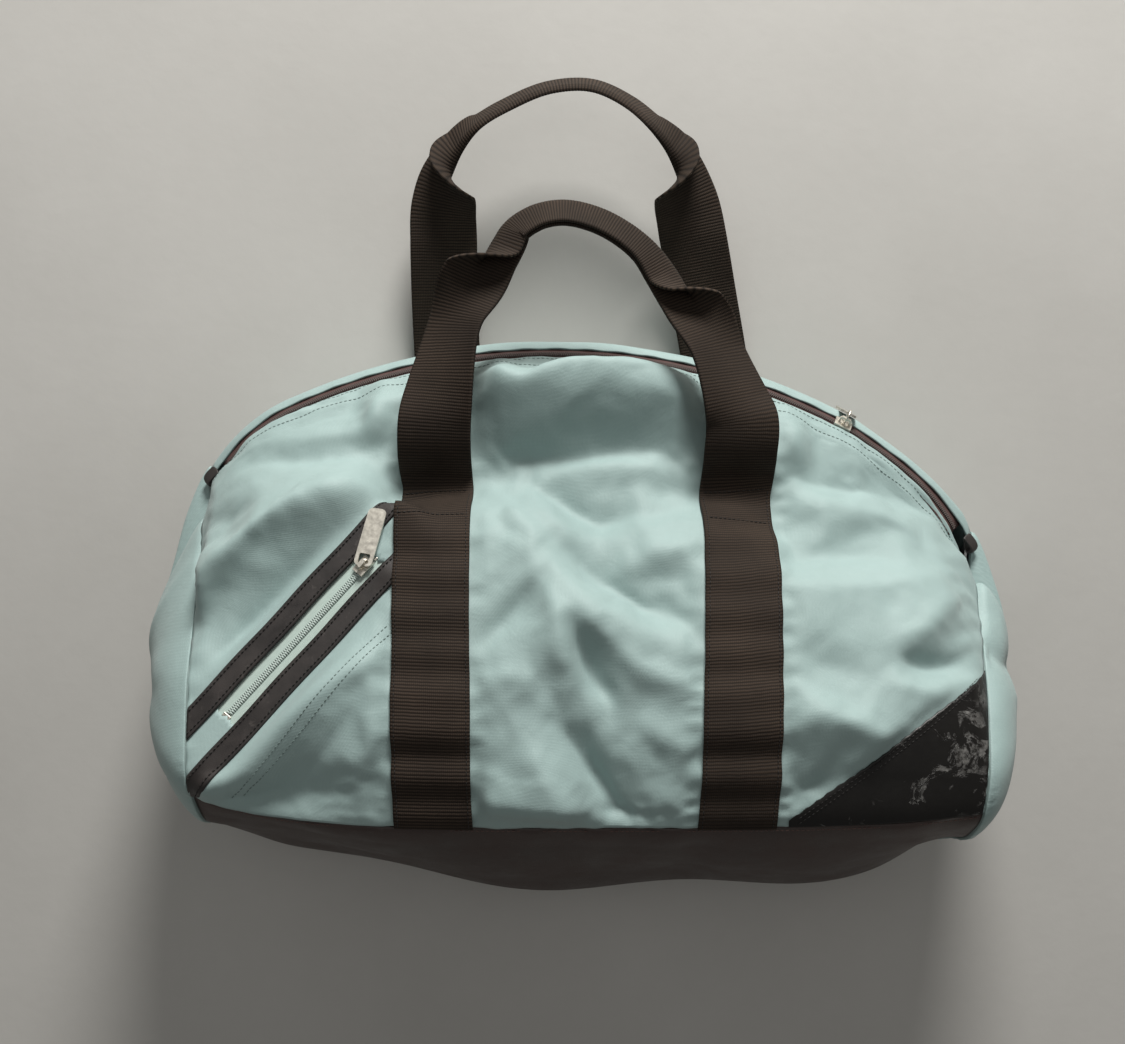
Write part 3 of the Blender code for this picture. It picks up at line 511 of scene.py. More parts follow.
def mesh_object(name, points, faces, material, uvs=None):
    mesh = new_mesh(name, points, faces, material, uvs)
    mesh.validate()
    return link_object(name, mesh)


def vectors(items, name):
    """One value of three numbers for each item, such as each vertex's normal."""
    values = np.empty(len(items) * 3)
    items.foreach_get(name, values)
    return values.reshape(-1, 3)


def on_bag(item, slot, *nodes):
    """Ties a piece to the bag's body and hides the CAD nodes that it replaces. The slot argument is
    not used.
    """
    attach(item, "bag")
    if nodes:
        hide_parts(*nodes)


def grid_object(name, grid, material, ring=False, flip=False, uvs=None):
    """A sheet through a grid of points, whose UVs are metres along and across it."""
    rows, columns = grid.shape[:2]
    if uvs is None:
        u = np.zeros((rows, columns))
        v = np.zeros((rows, columns))
        u[:, 1:] = np.cumsum(np.linalg.norm(np.diff(grid, axis=1), axis=2), axis=1)
        v[1:] = np.cumsum(np.linalg.norm(np.diff(grid, axis=0), axis=2), axis=0)
        middle = columns // 2
        v = np.broadcast_to(v[:, middle : middle + 1], v.shape)
        uvs = np.stack([u, v], axis=2)
    faces = []
    for i in range(rows - 1):
        for j in range(columns if ring else columns - 1):
            k, low, high = (j + 1) % columns, i * columns, (i + 1) * columns
            face = (low + j, low + k, high + k, high + j)
            faces.append(face[::-1] if flip else face)
    return mesh_object(name, grid.reshape(-1, 3), faces, material, uvs.reshape(-1, 2))


def thicken(item, thickness, offset=-1.0):
    solid = item.modifiers.new("Thickness", "SOLIDIFY")
    solid.thickness = thickness
    solid.offset = offset
    return item


def subdivide(item, levels=1):
    change = item.modifiers.new("Smooth", "SUBSURF")
    change.levels = change.render_levels = levels
    return item


def apply_modifiers(item):
    graph = bpy.context.evaluated_depsgraph_get()
    mesh = bpy.data.meshes.new_from_object(item.evaluated_get(graph))
    old = item.data
    item.modifiers.clear()
    item.data = mesh
    bpy.data.meshes.remove(old)
    return item


# A thread's sections: how far along it, its girth and how high it arches, in radii.
CAPSULE = ((0.0, 0.35, -0.5), (0.18, 0.9, 0.0), (0.5, 1.0, 0.35), (0.82, 0.9, 0.0), (1.0, 0.35, -0.5))


def capsules(name, starts, ends, radius, material, lift=None, sides=6):
    """Many short threads as one mesh: each runs from a start to an end and arches a little."""
    starts, ends = np.asarray(starts), np.asarray(ends)
    along = unit(ends - starts)
    up = np.broadcast_to(np.array((0.0, 0.0, 1.0)), along.shape) if lift is None else lift
    side = unit(np.cross(along, up))
    top = np.cross(side, along)
    length = np.linalg.norm(ends - starts, axis=1, keepdims=True)
    points, faces = [], []
    for share, girth, arch in CAPSULE:
        for k in range(sides):
            angle = 2 * math.pi * k / sides
            offset = side * math.cos(angle) + top * math.sin(angle)
            centre = starts + along * length * share + top * arch * radius
            points.append(centre + offset * radius * girth)
    count, rings = len(starts), len(CAPSULE)
    points = np.stack(points, axis=1).reshape(-1, 3)
    size = rings * sides
    for n in range(count):
        base = n * size
        for r in range(rings - 1):
            for k in range(sides):
                j = (k + 1) % sides
                a, b = base + r * sides, base + (r + 1) * sides
                faces.append((a + k, a + j, b + j, b + k))
        faces.append(tuple(base + k for k in range(sides))[::-1])
        faces.append(tuple(base + (rings - 1) * sides + k for k in range(sides)))
    return mesh_object(name, points, faces, material)


STITCH_PITCH, STITCH_LENGTH = 0.0033, 0.0024


def stitches(name, lines, material, radius=0.00028):
    """Rows of single stitches along lines of points."""
    starts, ends = [], []
    for line in lines:
        line = np.asarray(line)
        gone = lengths_along(line)
        first = np.arange(0, gone[-1] - STITCH_LENGTH, STITCH_PITCH)
        for places, at in ((starts, first), (ends, first + STITCH_LENGTH)):
            places.append(np.stack([np.interp(at, gone, line[:, k]) for k in range(3)], axis=1))
    return capsules(name, np.concatenate(starts), np.concatenate(ends), radius, material)


def laid_on(panel, line, lift):
    """A line of points moved onto a finished panel's outer face."""
    mesh = panel.data
    corners = [vertex.co for vertex in mesh.vertices]
    tree = BVHTree.FromPolygons(corners, [tuple(face.vertices) for face in mesh.polygons])
    places = []
    for point in line:
        place, normal, _, _ = tree.find_nearest(Vector(point))
        if normal.z < 0:
            normal = -normal
        places.append(place + normal * lift)
    return np.array(places)


# ---- Materials


class Nodes:
    """A material's node tree, with short calls for the nodes used here."""

    def __init__(self, name):
        self.material = bpy.data.materials.new(name)
        self.material.use_nodes = True
        self.tree = self.material.node_tree
        self.shader = self.tree.nodes["Principled BSDF"]

    def add(self, kind, **values):
        node = self.tree.nodes.new(kind)
        for key, value in values.items():
            setattr(node, key, value)
        return node

    def link(self, output, target):
        self.tree.links.new(output, target)

    def put(self, target, value):
        if hasattr(value, "is_linked"):
            self.link(value, target)
        else:
            target.default_value = (*value, 1) if isinstance(value, tuple) else value

    def uv(self):
        return self.add("ShaderNodeTexCoord").outputs["UV"]

    def place(self):
        return self.add("ShaderNodeTexCoord").outputs["Object"]

    def split(self, vector):
        node = self.add("ShaderNodeSeparateXYZ")
        self.link(vector, node.inputs[0])
        return node.outputs

    def math(self, operation, a, b=0.0, clamp=False):
        node = self.add("ShaderNodeMath", operation=operation, use_clamp=clamp)
        self.put(node.inputs[0], a)
        self.put(node.inputs[1], b)
        return node.outputs[0]

    def times(self, a, b):
        return self.math("MULTIPLY", a, b)

    def plus(self, a, b):
        return self.math("ADD", a, b)

    def noise(self, vector, scale, detail=3.0, roughness=0.55, distortion=0.0):
        node = self.add("ShaderNodeTexNoise")
        self.link(vector, node.inputs["Vector"])
        node.inputs["Scale"].default_value = scale
        node.inputs["Detail"].default_value = detail
        node.inputs["Roughness"].default_value = roughness
        node.inputs["Distortion"].default_value = distortion
        return node.outputs["Fac"]

    def ramp(self, value, low, high, clamp=True):
        node = self.add("ShaderNodeMapRange", clamp=clamp)
        self.put(node.inputs["Value"], value)
        node.inputs["From Min"].default_value = low
        node.inputs["From Max"].default_value = high
        return node.outputs["Result"]

    def colour(self, share, first, second):
        node = self.add("ShaderNodeMix", data_type="RGBA")
        self.put(node.inputs["Factor"], share)
        self.put(node.inputs[6], first)
        self.put(node.inputs[7], second)
        return node.outputs[2]

    def wave(self, coordinate, pitch, phase=0.0):
        """A sine from 0 to 1 along a coordinate, with its pitch in metres."""
        turned = self.times(coordinate, 2 * math.pi / pitch)
        turned = self.plus(turned, phase)
        wave = self.math("SINE", turned)
        return self.ramp(wave, -1, 1)

    def bump(self, height, distance, strength=1.0, normal=None):
        node = self.add("ShaderNodeBump")
        node.inputs["Distance"].default_value = distance
        node.inputs["Strength"].default_value = strength
        self.link(height, node.inputs["Height"])
        if normal is not None:
            self.link(normal, node.inputs["Normal"])
        return node.outputs["Normal"]

    def finish(self, colour, roughness, normal=None, metallic=0.0, sheen=0.0):
        inputs = self.shader.inputs
        self.put(inputs["Base Color"], colour)
        self.put(inputs["Roughness"], roughness)
        inputs["Metallic"].default_value = metallic
        inputs["Sheen Weight"].default_value = sheen
        inputs["Sheen Roughness"].default_value = 0.6
        if normal is not None:
            self.link(normal, inputs["Normal"])
        return self.material


THREAD_PITCH = 0.0009


def woven(name, light, dark, soil=(0.30, 0.36, 0.33)):
    """A plain weave seen close: over and under threads with a painted highlight on their crossings,
    with soft unevenness and faint soiling.
    """
    nodes = Nodes(name)
    uv = nodes.uv()
    u, v, _ = nodes.split(uv)
    warp, weft = nodes.wave(u, THREAD_PITCH), nodes.wave(v, THREAD_PITCH, 1.0)
    weave = nodes.times(warp, weft)
    fuzz = nodes.noise(uv, 2600, 2)
    cloudy = nodes.noise(nodes.place(), 9, 4, 0.6)
    slubs = nodes.noise(nodes.place(), 120, 3)
    share = nodes.times(nodes.ramp(cloudy, 0.3, 0.7), 0.55)
    share = nodes.plus(share, nodes.times(slubs, 0.3))
    colour = nodes.colour(share, dark, light)
    # The raised crossings of the weave are painted paler: a painted highlight on the threads.
    colour = nodes.colour(nodes.times(weave, 0.10), colour, (0.72, 0.84, 0.80))
    stain = nodes.ramp(nodes.noise(nodes.place(), 17, 5, 0.7), 0.62, 0.80)
    colour = nodes.colour(nodes.times(stain, 0.22), colour, soil)
    height = nodes.plus(weave, nodes.times(fuzz, 0.6))
    normal = nodes.bump(height, 0.00012, 0.6)
    crumple = nodes.noise(nodes.place(), 75, 5, 0.62, 0.4)
    normal = nodes.bump(crumple, 0.0012, 0.35, normal)
    return nodes.finish(colour, nodes.ramp(fuzz, -1.5, 1.8), normal, sheen=0.12)


def webbing_material():
    """Heavy ribbed webbing: u runs along the strap, v across it."""
    nodes = Nodes("brown_webbing")
    uv = nodes.uv()
    u, v, _ = nodes.split(uv)
    wobble = nodes.times(nodes.noise(uv, 160, 2), 0.0007)
    rib = nodes.wave(nodes.plus(u, wobble), RIB_PITCH)
    thread = nodes.wave(v, 0.0013)
    fibre = nodes.noise(uv, 3200, 2)
    # The colour runs from near black in the grooves between ribs and threads to brown on their tops:
    # painted shade in the grooves. Patchy wear varies how strongly it shows.
    relief = nodes.times(nodes.math("POWER", rib, 0.7), nodes.ramp(thread, -1.2, 1.0))
    wear_and_rib_shade = nodes.noise(nodes.place(), 22, 4)
    share = nodes.times(relief, nodes.ramp(wear_and_rib_shade, 0.0, 0.75))
    share = nodes.math("ADD", share, nodes.times(fibre, 0.16), clamp=True)
    colour = nodes.colour(share, (0.0060, 0.0042, 0.0030), (0.064, 0.044, 0.031))
    height = nodes.plus(relief, nodes.times(fibre, 0.3))
    nodes.shader.inputs["Specular IOR Level"].default_value = 0.22
    return nodes.finish(colour, 0.82, nodes.bump(height, 0.00035, 0.8))


def leather_material(name, dark, light, roughness, wear):
    nodes = Nodes(name)
    place = nodes.place()
    pores = nodes.add("ShaderNodeTexVoronoi", feature="DISTANCE_TO_EDGE")
    nodes.link(place, pores.inputs["Vector"])
    pores.inputs["Scale"].default_value = 900
    cells = nodes.ramp(pores.outputs["Distance"], 0.0, 0.18)
    cloudy = nodes.noise(place, 60, 4)
    colour = nodes.colour(nodes.ramp(cloudy, 0.3, 0.75), dark, light)
    rough = nodes.ramp(cloudy, -1.0 + roughness, 1.6)
    scuff = nodes.ramp(nodes.noise(place, 95, 6, 0.7, 0.6), 0.60, 0.70)
    colour = nodes.colour(nodes.times(scuff, wear), colour, (0.16, 0.14, 0.13))
    normal = nodes.bump(cells, 0.00010, 0.35)
    normal = nodes.bump(cloudy, 0.0006, 0.25, normal)
    return nodes.finish(colour, rough, normal)


def base_material():
    """Coated base fabric: a tight weave under a satin skin."""
    nodes = Nodes("coated_base")
    u, v, _ = nodes.split(nodes.uv())
    weave = nodes.times(nodes.wave(u, 0.0011), nodes.wave(v, 0.0011, 0.7))
    place = nodes.place()
    cloudy = nodes.noise(place, 30, 5, 0.6)
    dust = nodes.ramp(nodes.noise(place, 140, 4, 0.7), 0.58, 0.75)
    colour = nodes.colour(nodes.ramp(cloudy, 0.3, 0.7), (0.032, 0.020, 0.017), (0.056, 0.036, 0.031))
    colour = nodes.colour(nodes.times(dust, 0.25), colour, (0.11, 0.09, 0.08))
    normal = nodes.bump(weave, 0.00015, 0.5)
    normal = nodes.bump(cloudy, 0.002, 0.3, normal)
    return nodes.finish(colour, nodes.ramp(cloudy, -0.4, 1.4), normal)


def patch_material():
    """Near-black coating, rubbed glossy and peeling pale in places near the outer corner."""
    nodes = Nodes("corner_patch")
    place = nodes.place()
    x, _, _ = nodes.split(place)
    reach = nodes.ramp(x, 0.222, 0.266)
    flakes = nodes.noise(place, 55, 8, 0.66, 1.4)
    threshold = nodes.math("SUBTRACT", flakes, nodes.times(reach, 0.13))
    patchy = nodes.ramp(nodes.noise(place, 30, 3), 0.40, 0.55)
    peeled = nodes.times(nodes.ramp(threshold, 0.40, 0.36), patchy)
    streak = nodes.noise(place, 170, 6, 0.75)
    shine = nodes.ramp(streak, 0.40, 0.68)
    grey = nodes.colour(shine, (0.012, 0.011, 0.010), (0.200, 0.196, 0.188))
    skin = nodes.colour(nodes.noise(place, 40, 4), (0.0045, 0.0040, 0.0036), (0.0095, 0.0085, 0.0075))
    colour = nodes.colour(peeled, skin, grey)
    rough = nodes.plus(nodes.times(peeled, -0.12), nodes.ramp(streak, -0.8, 2.4))
    normal = nodes.bump(nodes.times(peeled, -1.0), 0.0005, 0.8)
    normal = nodes.bump(nodes.noise(place, 180, 5), 0.0006, 0.3, normal)
    nodes.shader.inputs["Specular IOR Level"].default_value = 0.32
    return nodes.finish(colour, rough, normal)


def plain_thread(name, colour):
    nodes = Nodes(name)
    twist = nodes.noise(nodes.place(), 2400, 2)
    dark = tuple(part * 0.6 for part in colour)
    return nodes.finish(nodes.colour(twist, dark, colour), 0.6, nodes.bump(twist, 0.0001, 0.5))


def metal_material():
    nodes = Nodes("nickel")
    place = nodes.place()
    haze = nodes.noise(place, 320, 4, 0.6)
    scratches = nodes.noise(place, 2200, 2)
    colour = nodes.colour(haze, (0.52, 0.49, 0.43), (0.82, 0.79, 0.71))
    normal = nodes.bump(scratches, 0.00004, 0.4)
    return nodes.finish(colour, nodes.ramp(haze, -0.9, 2.2), normal, metallic=1.0)


def tape_material(name, dark, light):
    """Zip tape: a fine herringbone."""
    nodes = Nodes(name)
    u, v, _ = nodes.split(nodes.uv())
    zigzag = nodes.math("PINGPONG", v, 0.0012)
    twill = nodes.wave(nodes.plus(u, zigzag), 0.0010)
    cloudy = nodes.noise(nodes.place(), 200, 3)
    # The twill's ridges are painted lighter than its furrows: painted highlight and shade in the
    # herringbone.
    share = nodes.times(twill, nodes.ramp(cloudy, 0.0, 0.8))
    return nodes.finish(nodes.colour(share, dark, light), 0.8, nodes.bump(twill, 0.0001, 0.6))


def floor_material():
    nodes = Nodes("floor")
    place = nodes.place()
    cloudy = nodes.noise(place, 2.6, 6, 0.6)
    speckle = nodes.noise(place, 90, 3)
    colour = nodes.colour(nodes.ramp(cloudy, 0.3, 0.7), (0.50, 0.49, 0.465), (0.58, 0.57, 0.545))
    colour = nodes.colour(nodes.times(speckle, 0.12), colour, (0.40, 0.39, 0.37))
    return nodes.finish(colour, 0.6, nodes.bump(speckle, 0.0004, 0.3))


MINT = woven("mint_fabric", (0.325, 0.440, 0.430), (0.262, 0.366, 0.356))
BASE = base_material()
WEBBING = webbing_material()
FACING = leather_material("dark_facing", (0.012, 0.0095, 0.009), (0.030, 0.024, 0.022), 0.22, 0.25)
PATCH = patch_material()
NICKEL = metal_material()
MAIN_TAPE = tape_material("zip_tape", (0.060, 0.030, 0.027), (0.125, 0.065, 0.058))
POCKET_TAPE = tape_material("pocket_tape", (0.40, 0.50, 0.46), (0.52, 0.62, 0.57))
MINT_THREAD = plain_thread("mint_thread", (0.20, 0.27, 0.255))
DARK_THREAD = plain_thread("dark_thread", (0.009, 0.007, 0.006))
# The end seams' folded edge is the mint fabric coloured darker: painted shade along the seam lines.
SEAM = plain_thread("end_seam_painted_shade", (0.20, 0.27, 0.26))
RED_THREAD = plain_thread("reddish_thread", (0.16, 0.085, 0.070))
MAIN_COIL = plain_thread("zip_coil", (0.080, 0.056, 0.050))
POCKET_COIL = plain_thread("pocket_coil", (0.56, 0.66, 0.62))
LINING = woven("lining", (0.10, 0.10, 0.10), (0.07, 0.07, 0.07), soil=(0.05, 0.05, 0.05))


# ---- Camera, light and floor

CAMERA_PLACE, CAMERA_LENS = (-0.013, -0.034, 1.2), 49.9
FLOOR_HALF = 12.0
# Each light: its place, what it faces, its diameter, its power and its colour.
LIGHTS = {
    "window": ((0.30, 2.35, 1.02), (0, 0.0, 0.05), 0.9, 96, (1.0, 0.98, 0.945)),
    "overhead": ((0.0, 0.3, 2.6), (0, 0, 0), 2.0, 5, (1.0, 0.99, 0.97)),
}
SKY_COLOUR, SKY_STRENGTH = (1.0, 0.985, 0.95, 1), 0.18


def add_light(name, place, target, size, power, colour):
    light = bpy.data.lights.new(name, "AREA")
    light.shape = "DISK"
    light.size = size
    light.energy = power
    light.color = colour
    item = link_object(name, light)
    item.location = place
    item.rotation_euler = (Vector(target) - Vector(place)).to_track_quat("-Z", "Y").to_euler()


def studio():
    scene = bpy.context.scene
    scene.view_settings.view_transform = "Standard"
    camera = bpy.data.cameras.new("camera")
    camera.lens = CAMERA_LENS
    camera.sensor_width = 36
    item = link_object("camera", camera)
    item.location = CAMERA_PLACE
    scene.camera = item
    for name, values in LIGHTS.items():
        add_light(name, *values)
    world = bpy.data.worlds.new("studio")
    world.use_nodes = True
    background = world.node_tree.nodes["Background"]
    background.inputs["Color"].default_value = SKY_COLOUR
    background.inputs["Strength"].default_value = SKY_STRENGTH
    scene.world = world
    corners = [(x * FLOOR_HALF, y * FLOOR_HALF, 0) for x, y in ((-1, -1), (1, -1), (1, 1), (-1, 1))]
    floor = mesh_object("floor", corners, [(0, 1, 2, 3)], floor_material())


# ---- Shell panels


def settle_cloth(item, pinned, shrink, frames=16, cap=0.006):
    """Lets a panel's loose cloth buckle between its sewn lines, then keeps the result."""
    start = vectors(item.data.vertices, "co")
    group = item.vertex_groups.new(name="sewn")
    for index, weight in enumerate(pinned):
        if weight > 0.01:
            group.add([index], float(weight), "REPLACE")
    cloth = item.modifiers.new("Cloth", "CLOTH")
    settings = cloth.settings
    settings.quality = 5
    settings.mass = 0.15
    settings.tension_stiffness = settings.compression_stiffness = 20
    settings.shear_stiffness = 8
    settings.bending_stiffness = 0.05
    settings.vertex_group_mass = "sewn"
    settings.shrink_min = -shrink
    settings.effector_weights.gravity = 0
    settings.use_pressure = True
    settings.uniform_pressure_force = 0.35
    cloth.collision_settings.use_collision = False
    cloth.point_cache.frame_end = frames
    scene = bpy.context.scene
    for number in range(1, frames + 1):
        scene.frame_set(number)
    apply_modifiers(item)
    scene.frame_set(1)
    move = vectors(item.data.vertices, "co") - start
    length = np.linalg.norm(move, axis=1, keepdims=True)
    move *= np.minimum(1, cap / np.maximum(length, 1e-9))
    item.data.vertices.foreach_set("co", (start + move).ravel())
    item.data.update()


def displace(item, amount):
    """Moves a mesh's points along their normals."""
    mesh = item.data
    points, normals = vectors(mesh.vertices, "co"), vectors(mesh.vertices, "normal")
    mesh.vertices.foreach_set("co", (points + normals * amount(points)[:, None]).ravel())
    mesh.update()


def rough_noise(points, scale, seed=0.0):
    offset = Vector((seed, seed * 1.7, seed * 0.3))
    return np.array([noise.noise(Vector(point) * scale + offset) for point in points])


def crinkles(points):
    """The soft irregular crumpling of worn fabric, flat at the pocket, the straps and the patch."""
    wander = rough_noise(points, 11, 1.3)
    ridges = 1 - 2 * np.abs(rough_noise(points + wander[:, None] * 0.02, 24, 6.1))
    small = 1 - 2 * np.abs(rough_noise(points, 58, 2.7))
    amount = 0.0016 * ridges * (0.5 + wander) + 0.0005 * small
    free = strap_clear(points[:, 0], points[:, 1]) * (1 - pocket_flatness(points))
    return amount * free * smooth_step((patch_edge(points) + 0.002) / 0.010)


def seam_puckers(points):
    """Fine gathers along the front panel's seams and the straps' sewn edges."""
    x, y = points[:, 0], points[:, 1]
    wander = rough_noise(points, 26, 3.1)
    strong = 0.6 + 0.9 * np.clip(rough_noise(points, 14, 9.2), -0.4, 1)
    along_y = np.sin(y / 0.0021 + 5 * wander)
    along_x = np.sin(x / 0.0023 + 5 * wander)
    puckers = np.zeros(len(points))
    for gap in strap_gaps(x, y, 1):
        near = np.exp(-((gap - 0.004) / 0.006) ** 2) * (y < FRONT_HINGE_Y + 0.01)
        puckers += 0.0007 * near * along_y * (gap > -0.002)
    seam = np.abs(HALF_LENGTH - np.abs(x))
    puckers += 0.0007 * np.exp(-((seam - 0.005) / 0.006) ** 2) * along_y
    base_y = BASE_SEAM_Y + BASE_SEAM_BOW * (x / HALF_LENGTH) ** 2
    puckers += 0.0008 * np.exp(-((y - base_y - 0.006) / 0.007) ** 2) * along_x * strap_clear(x, y)
    return puckers * strong


def seam_to_seam(count):
    return np.linspace(-HALF_LENGTH + SEAM_GAP, HALF_LENGTH - SEAM_GAP, count)


def front_panel():
    t_values = np.linspace(BASE_SEAM + SEW_GAP, FRONT_EDGE, 70)
    grid, _ = shell_grid(seam_to_seam(104), t_values)
    t = np.broadcast_to(t_values[:, None], grid.shape[:2])
    panel = grid_object("front_panel", grid, MINT)
    edge = np.minimum((t - BASE_SEAM) / 0.3, (FRONT_EDGE - t) / 0.35)
    side = (HALF_LENGTH - np.abs(grid[..., 0])) / 0.010
    held = 1 - smooth_step(np.minimum(edge, side))
    held = np.maximum(held, 1 - strap_clear(grid[..., 0], grid[..., 1]))
    held = np.maximum(held, pocket_flatness(grid))
    held = np.maximum(held, 1 - smooth_step((patch_edge(grid) + 0.002) / 0.008))
    settle_cloth(panel, held.ravel(), shrink=0.016)
    apply_modifiers(subdivide(panel))
    displace(panel, crinkles)
    displace(panel, seam_puckers)
    cut_pocket_slot(panel)
    thicken(panel, SHELL)
    on_bag(panel, "mint_fabric", "front_panel")
    return panel


def cut_pocket_slot(panel):
    """Takes out the faces between the pocket's two facings, where the zip shows."""
    mesh = panel.data
    along, across, _ = pocket_local(vectors(mesh.polygons, "center"))
    inside = (np.abs(across) < POCKET_SLOT + 0.006) & (along > 0.0) & (along < POCKET_LENGTH)
    kept = [tuple(face.vertices) for face in mesh.polygons if not inside[face.index]]
    layer = mesh.uv_layers[0].data
    uvs = np.zeros((len(mesh.vertices), 2))
    for loop in mesh.loops:
        uvs[loop.vertex_index] = layer[loop.index].uv
    panel.data = new_mesh("front_panel", vectors(mesh.vertices, "co"), kept, MINT, uvs)
    bpy.data.meshes.remove(mesh)


def back_panel():
    t_values = np.linspace(BACK_EDGE, STATIONS - SEW_GAP, 90)
    grid, normals = shell_grid(seam_to_seam(150), t_values)
    t = t_values[:, None]
    x = grid[..., 0]
    sag = np.sin(x / 0.019 + 2 * np.sin(x / 0.05)) * np.exp(-((t - ZIP_STATION - 2.4) / 0.9) ** 2)
    gather = np.sin(x / 0.0036) * np.exp(-((t - BACK_EDGE) / 0.35) ** 2)
    lift = 0.0016 * sag + 0.0004 * gather
    grid = grid + normals * lift[..., None]
    grid[..., 2] = np.maximum(grid[..., 2], FLOOR_CLEARANCE)
    panel = grid_object("back_panel", grid, MINT)
    thicken(panel, SHELL)
    on_bag(panel, "mint_fabric", "back_panel")


def base_panel():
    t_values = np.linspace(SEW_GAP, BASE_SEAM - SEW_GAP, 80)
    grid, normals = shell_grid(seam_to_seam(170), t_values)
    t = t_values[:, None]
    x = grid[..., 0]
    top = np.exp(-((t - BASE_SEAM) / 0.9) ** 2)
    lift = 0.0016 * np.sin(x / 0.012 + 3 * np.sin(x / 0.045)) * top
    lift = lift + 0.0040 * np.sin(x / 0.034 + 1.1 * t) * np.sin(np.pi * t / BASE_SEAM)
    lift = lift - 0.0040 * np.exp(-(((x - 0.075) / 0.016) ** 2)) * np.exp(-((t - 3.9) / 0.9) ** 2)
    lift = lift * smooth_step((HALF_LENGTH - np.abs(x)) / 0.02) * smooth_step(t / 0.3)
    lift = lift * smooth_step((BASE_SEAM - t) / 0.12)
    grid = grid + normals * lift[..., None]
    panel = grid_object("base_panel", grid, BASE)
    thicken(panel, SHELL)
    on_bag(panel, "coated_base", "base_panel")


# Each fold of an end panel in millimetres, seen along the bag: y and z, then as above.
END_FOLDS = {
    "left": (
        (((-50, 124), (-90, 118), (-122, 104), (-140, 80)), 4, 10, 24),
        (((-150, 160), (-158, 110), (-150, 50)), -7, 16, 22),
        (((-30, 70), (-70, 84), (-110, 84)), -4, 12, 12),
        (((-190, 150), (-196, 110), (-190, 60)), -4, 14, 14),
    ),
    "right": (
        (((-70, 106), (-100, 112), (-124, 128)), 5, 10, 14),
        (((-112, 158), (-130, 136), (-134, 96)), -6, 10, 7),
        (((-150, 150), (-160, 110), (-158, 70)), 3, 14, 14),
        (((-222, 150), (-220, 110), (-210, 60)), -4, 12, 14),
    ),
}


def end_panel(name, side):
    count, rings = 150, 34
    t_values = np.arange(count) * STATIONS / count
    seam_x = side * HALF_LENGTH
    inner = seam_x - side * 0.004
    values = np.array((inner, seam_x)) if side > 0 else np.array((seam_x, inner))
    pair, _ = shell_grid(values, t_values)
    loop = pair[:, 1 if side > 0 else 0]
    centre = np.array((loop[:, 0].mean(), *END_CENTRE[name]))
    around = np.arange(count) / count
    rows = []
    for ring in range(rings):
        share = ring / (rings - 1) * 0.985
        angle = math.pi / 2 * share
        held = smooth_step(share / 0.16) * smooth_step((1 - share) / 0.15)
        ring_points = centre + (loop - centre) * math.cos(angle)
        outward = unit(ring_points - centre + np.array((side * 0.05, 0, 0)) * (0.3 + share))
        bulge = END_BULGE[name] * math.sin(angle) ** (2 * END_FULLNESS[name])
        slack = 1 - 0.50 * smooth_step((ring_points[:, 1] + 0.135) / 0.085) * (1 - share)
        ring_points[:, 0] += side * bulge * slack
        y, z = ring_points[:, 1], ring_points[:, 2]
        lift = 0.0006 * np.sin(2 * math.pi * around * 62) * math.exp(-(((share - 0.06) / 0.06) ** 2))
        for row in END_FOLDS[name]:
            lift = lift + fold(y, z, row) * held
        rows.append(ring_points + outward * lift[:, None])
    grid = np.array(rows)
    uvs = np.stack([grid[..., 1], grid[..., 2]], axis=2)
    panel = grid_object(f"end_panel_{name}", grid, MINT, ring=True, flip=side < 0, uvs=uvs)
    close_tip(panel, count, rings)
    thicken(panel, SHELL)
    on_bag(panel, "mint_fabric", f"end_panel_{name}")


def close_tip(panel, count, rings):
    """Fills the small hole at the middle of a domed end."""
    mesh = panel.data
    points = [tuple(vertex.co) for vertex in mesh.vertices]
    faces = [tuple(face.vertices) for face in mesh.polygons]
    last = list(range((rings - 1) * count, rings * count))
    tip = len(points)
    points.append(tuple(np.mean([points[i] for i in last], axis=0)))
    sample = faces[-1]
    forward = sample.index(last[-1]) - sample.index(last[0])
    for i in range(count):
        a, b = last[i], last[(i + 1) % count]
        faces.append((b, a, tip) if forward in (1, -3) else (a, b, tip))
    panel.data = new_mesh(mesh.name, points, faces, MINT, [place[1:] for place in points])


def corner_patch(surface):
    columns, rows = 60, 40
    x_values = np.linspace(PATCH_LEFT, PATCH_RIGHT, columns)
    grid = np.empty((rows, columns, 3))
    for column, x in enumerate(x_values):
        share = (x - PATCH_LEFT) / (PATCH_RIGHT - PATCH_LEFT)
        top = front_station(x, mix(PATCH_Y[0], PATCH_Y[1], share) + 0.0004 * math.sin(x * 900))
        low = BASE_SEAM + 0.03
        t_values = np.linspace(low, max(top, low + 0.01), rows)
        grid[:, column] = surface.at(np.full(rows, x), t_values, 0.0006)
    patch = grid_object("corner_patch", grid, PATCH)
    thicken(patch, 0.0009, 1.0)
    on_bag(patch, "corner_patch", "corner_patch")
    edge_x = np.linspace(PATCH_LEFT + 0.006, PATCH_RIGHT - 0.003, 60)
    share = (edge_x - PATCH_LEFT) / (PATCH_RIGHT - PATCH_LEFT)
    lines = [
        surface.at_plan(edge_x, mix(PATCH_Y[0], PATCH_Y[1], share) - offset, 0.0017)
        for offset in (0.0028, 0.0062)
    ]
    on_bag(stitches("patch_stitching", lines, DARK_THREAD), "corner_patch")


# ---- Webbing


PROFILE = 25  # points across the webbing
WEBBING_STEP = 0.00066  # between rows of points, for the ribs
SEWN_FROM = BASE_SEAM + 0.02  # the station where the front straps start
STRAP_LIFT, ON_WEBBING = 0.0022, 0.0035  # heights over the panel: a sewn strap, its stitches


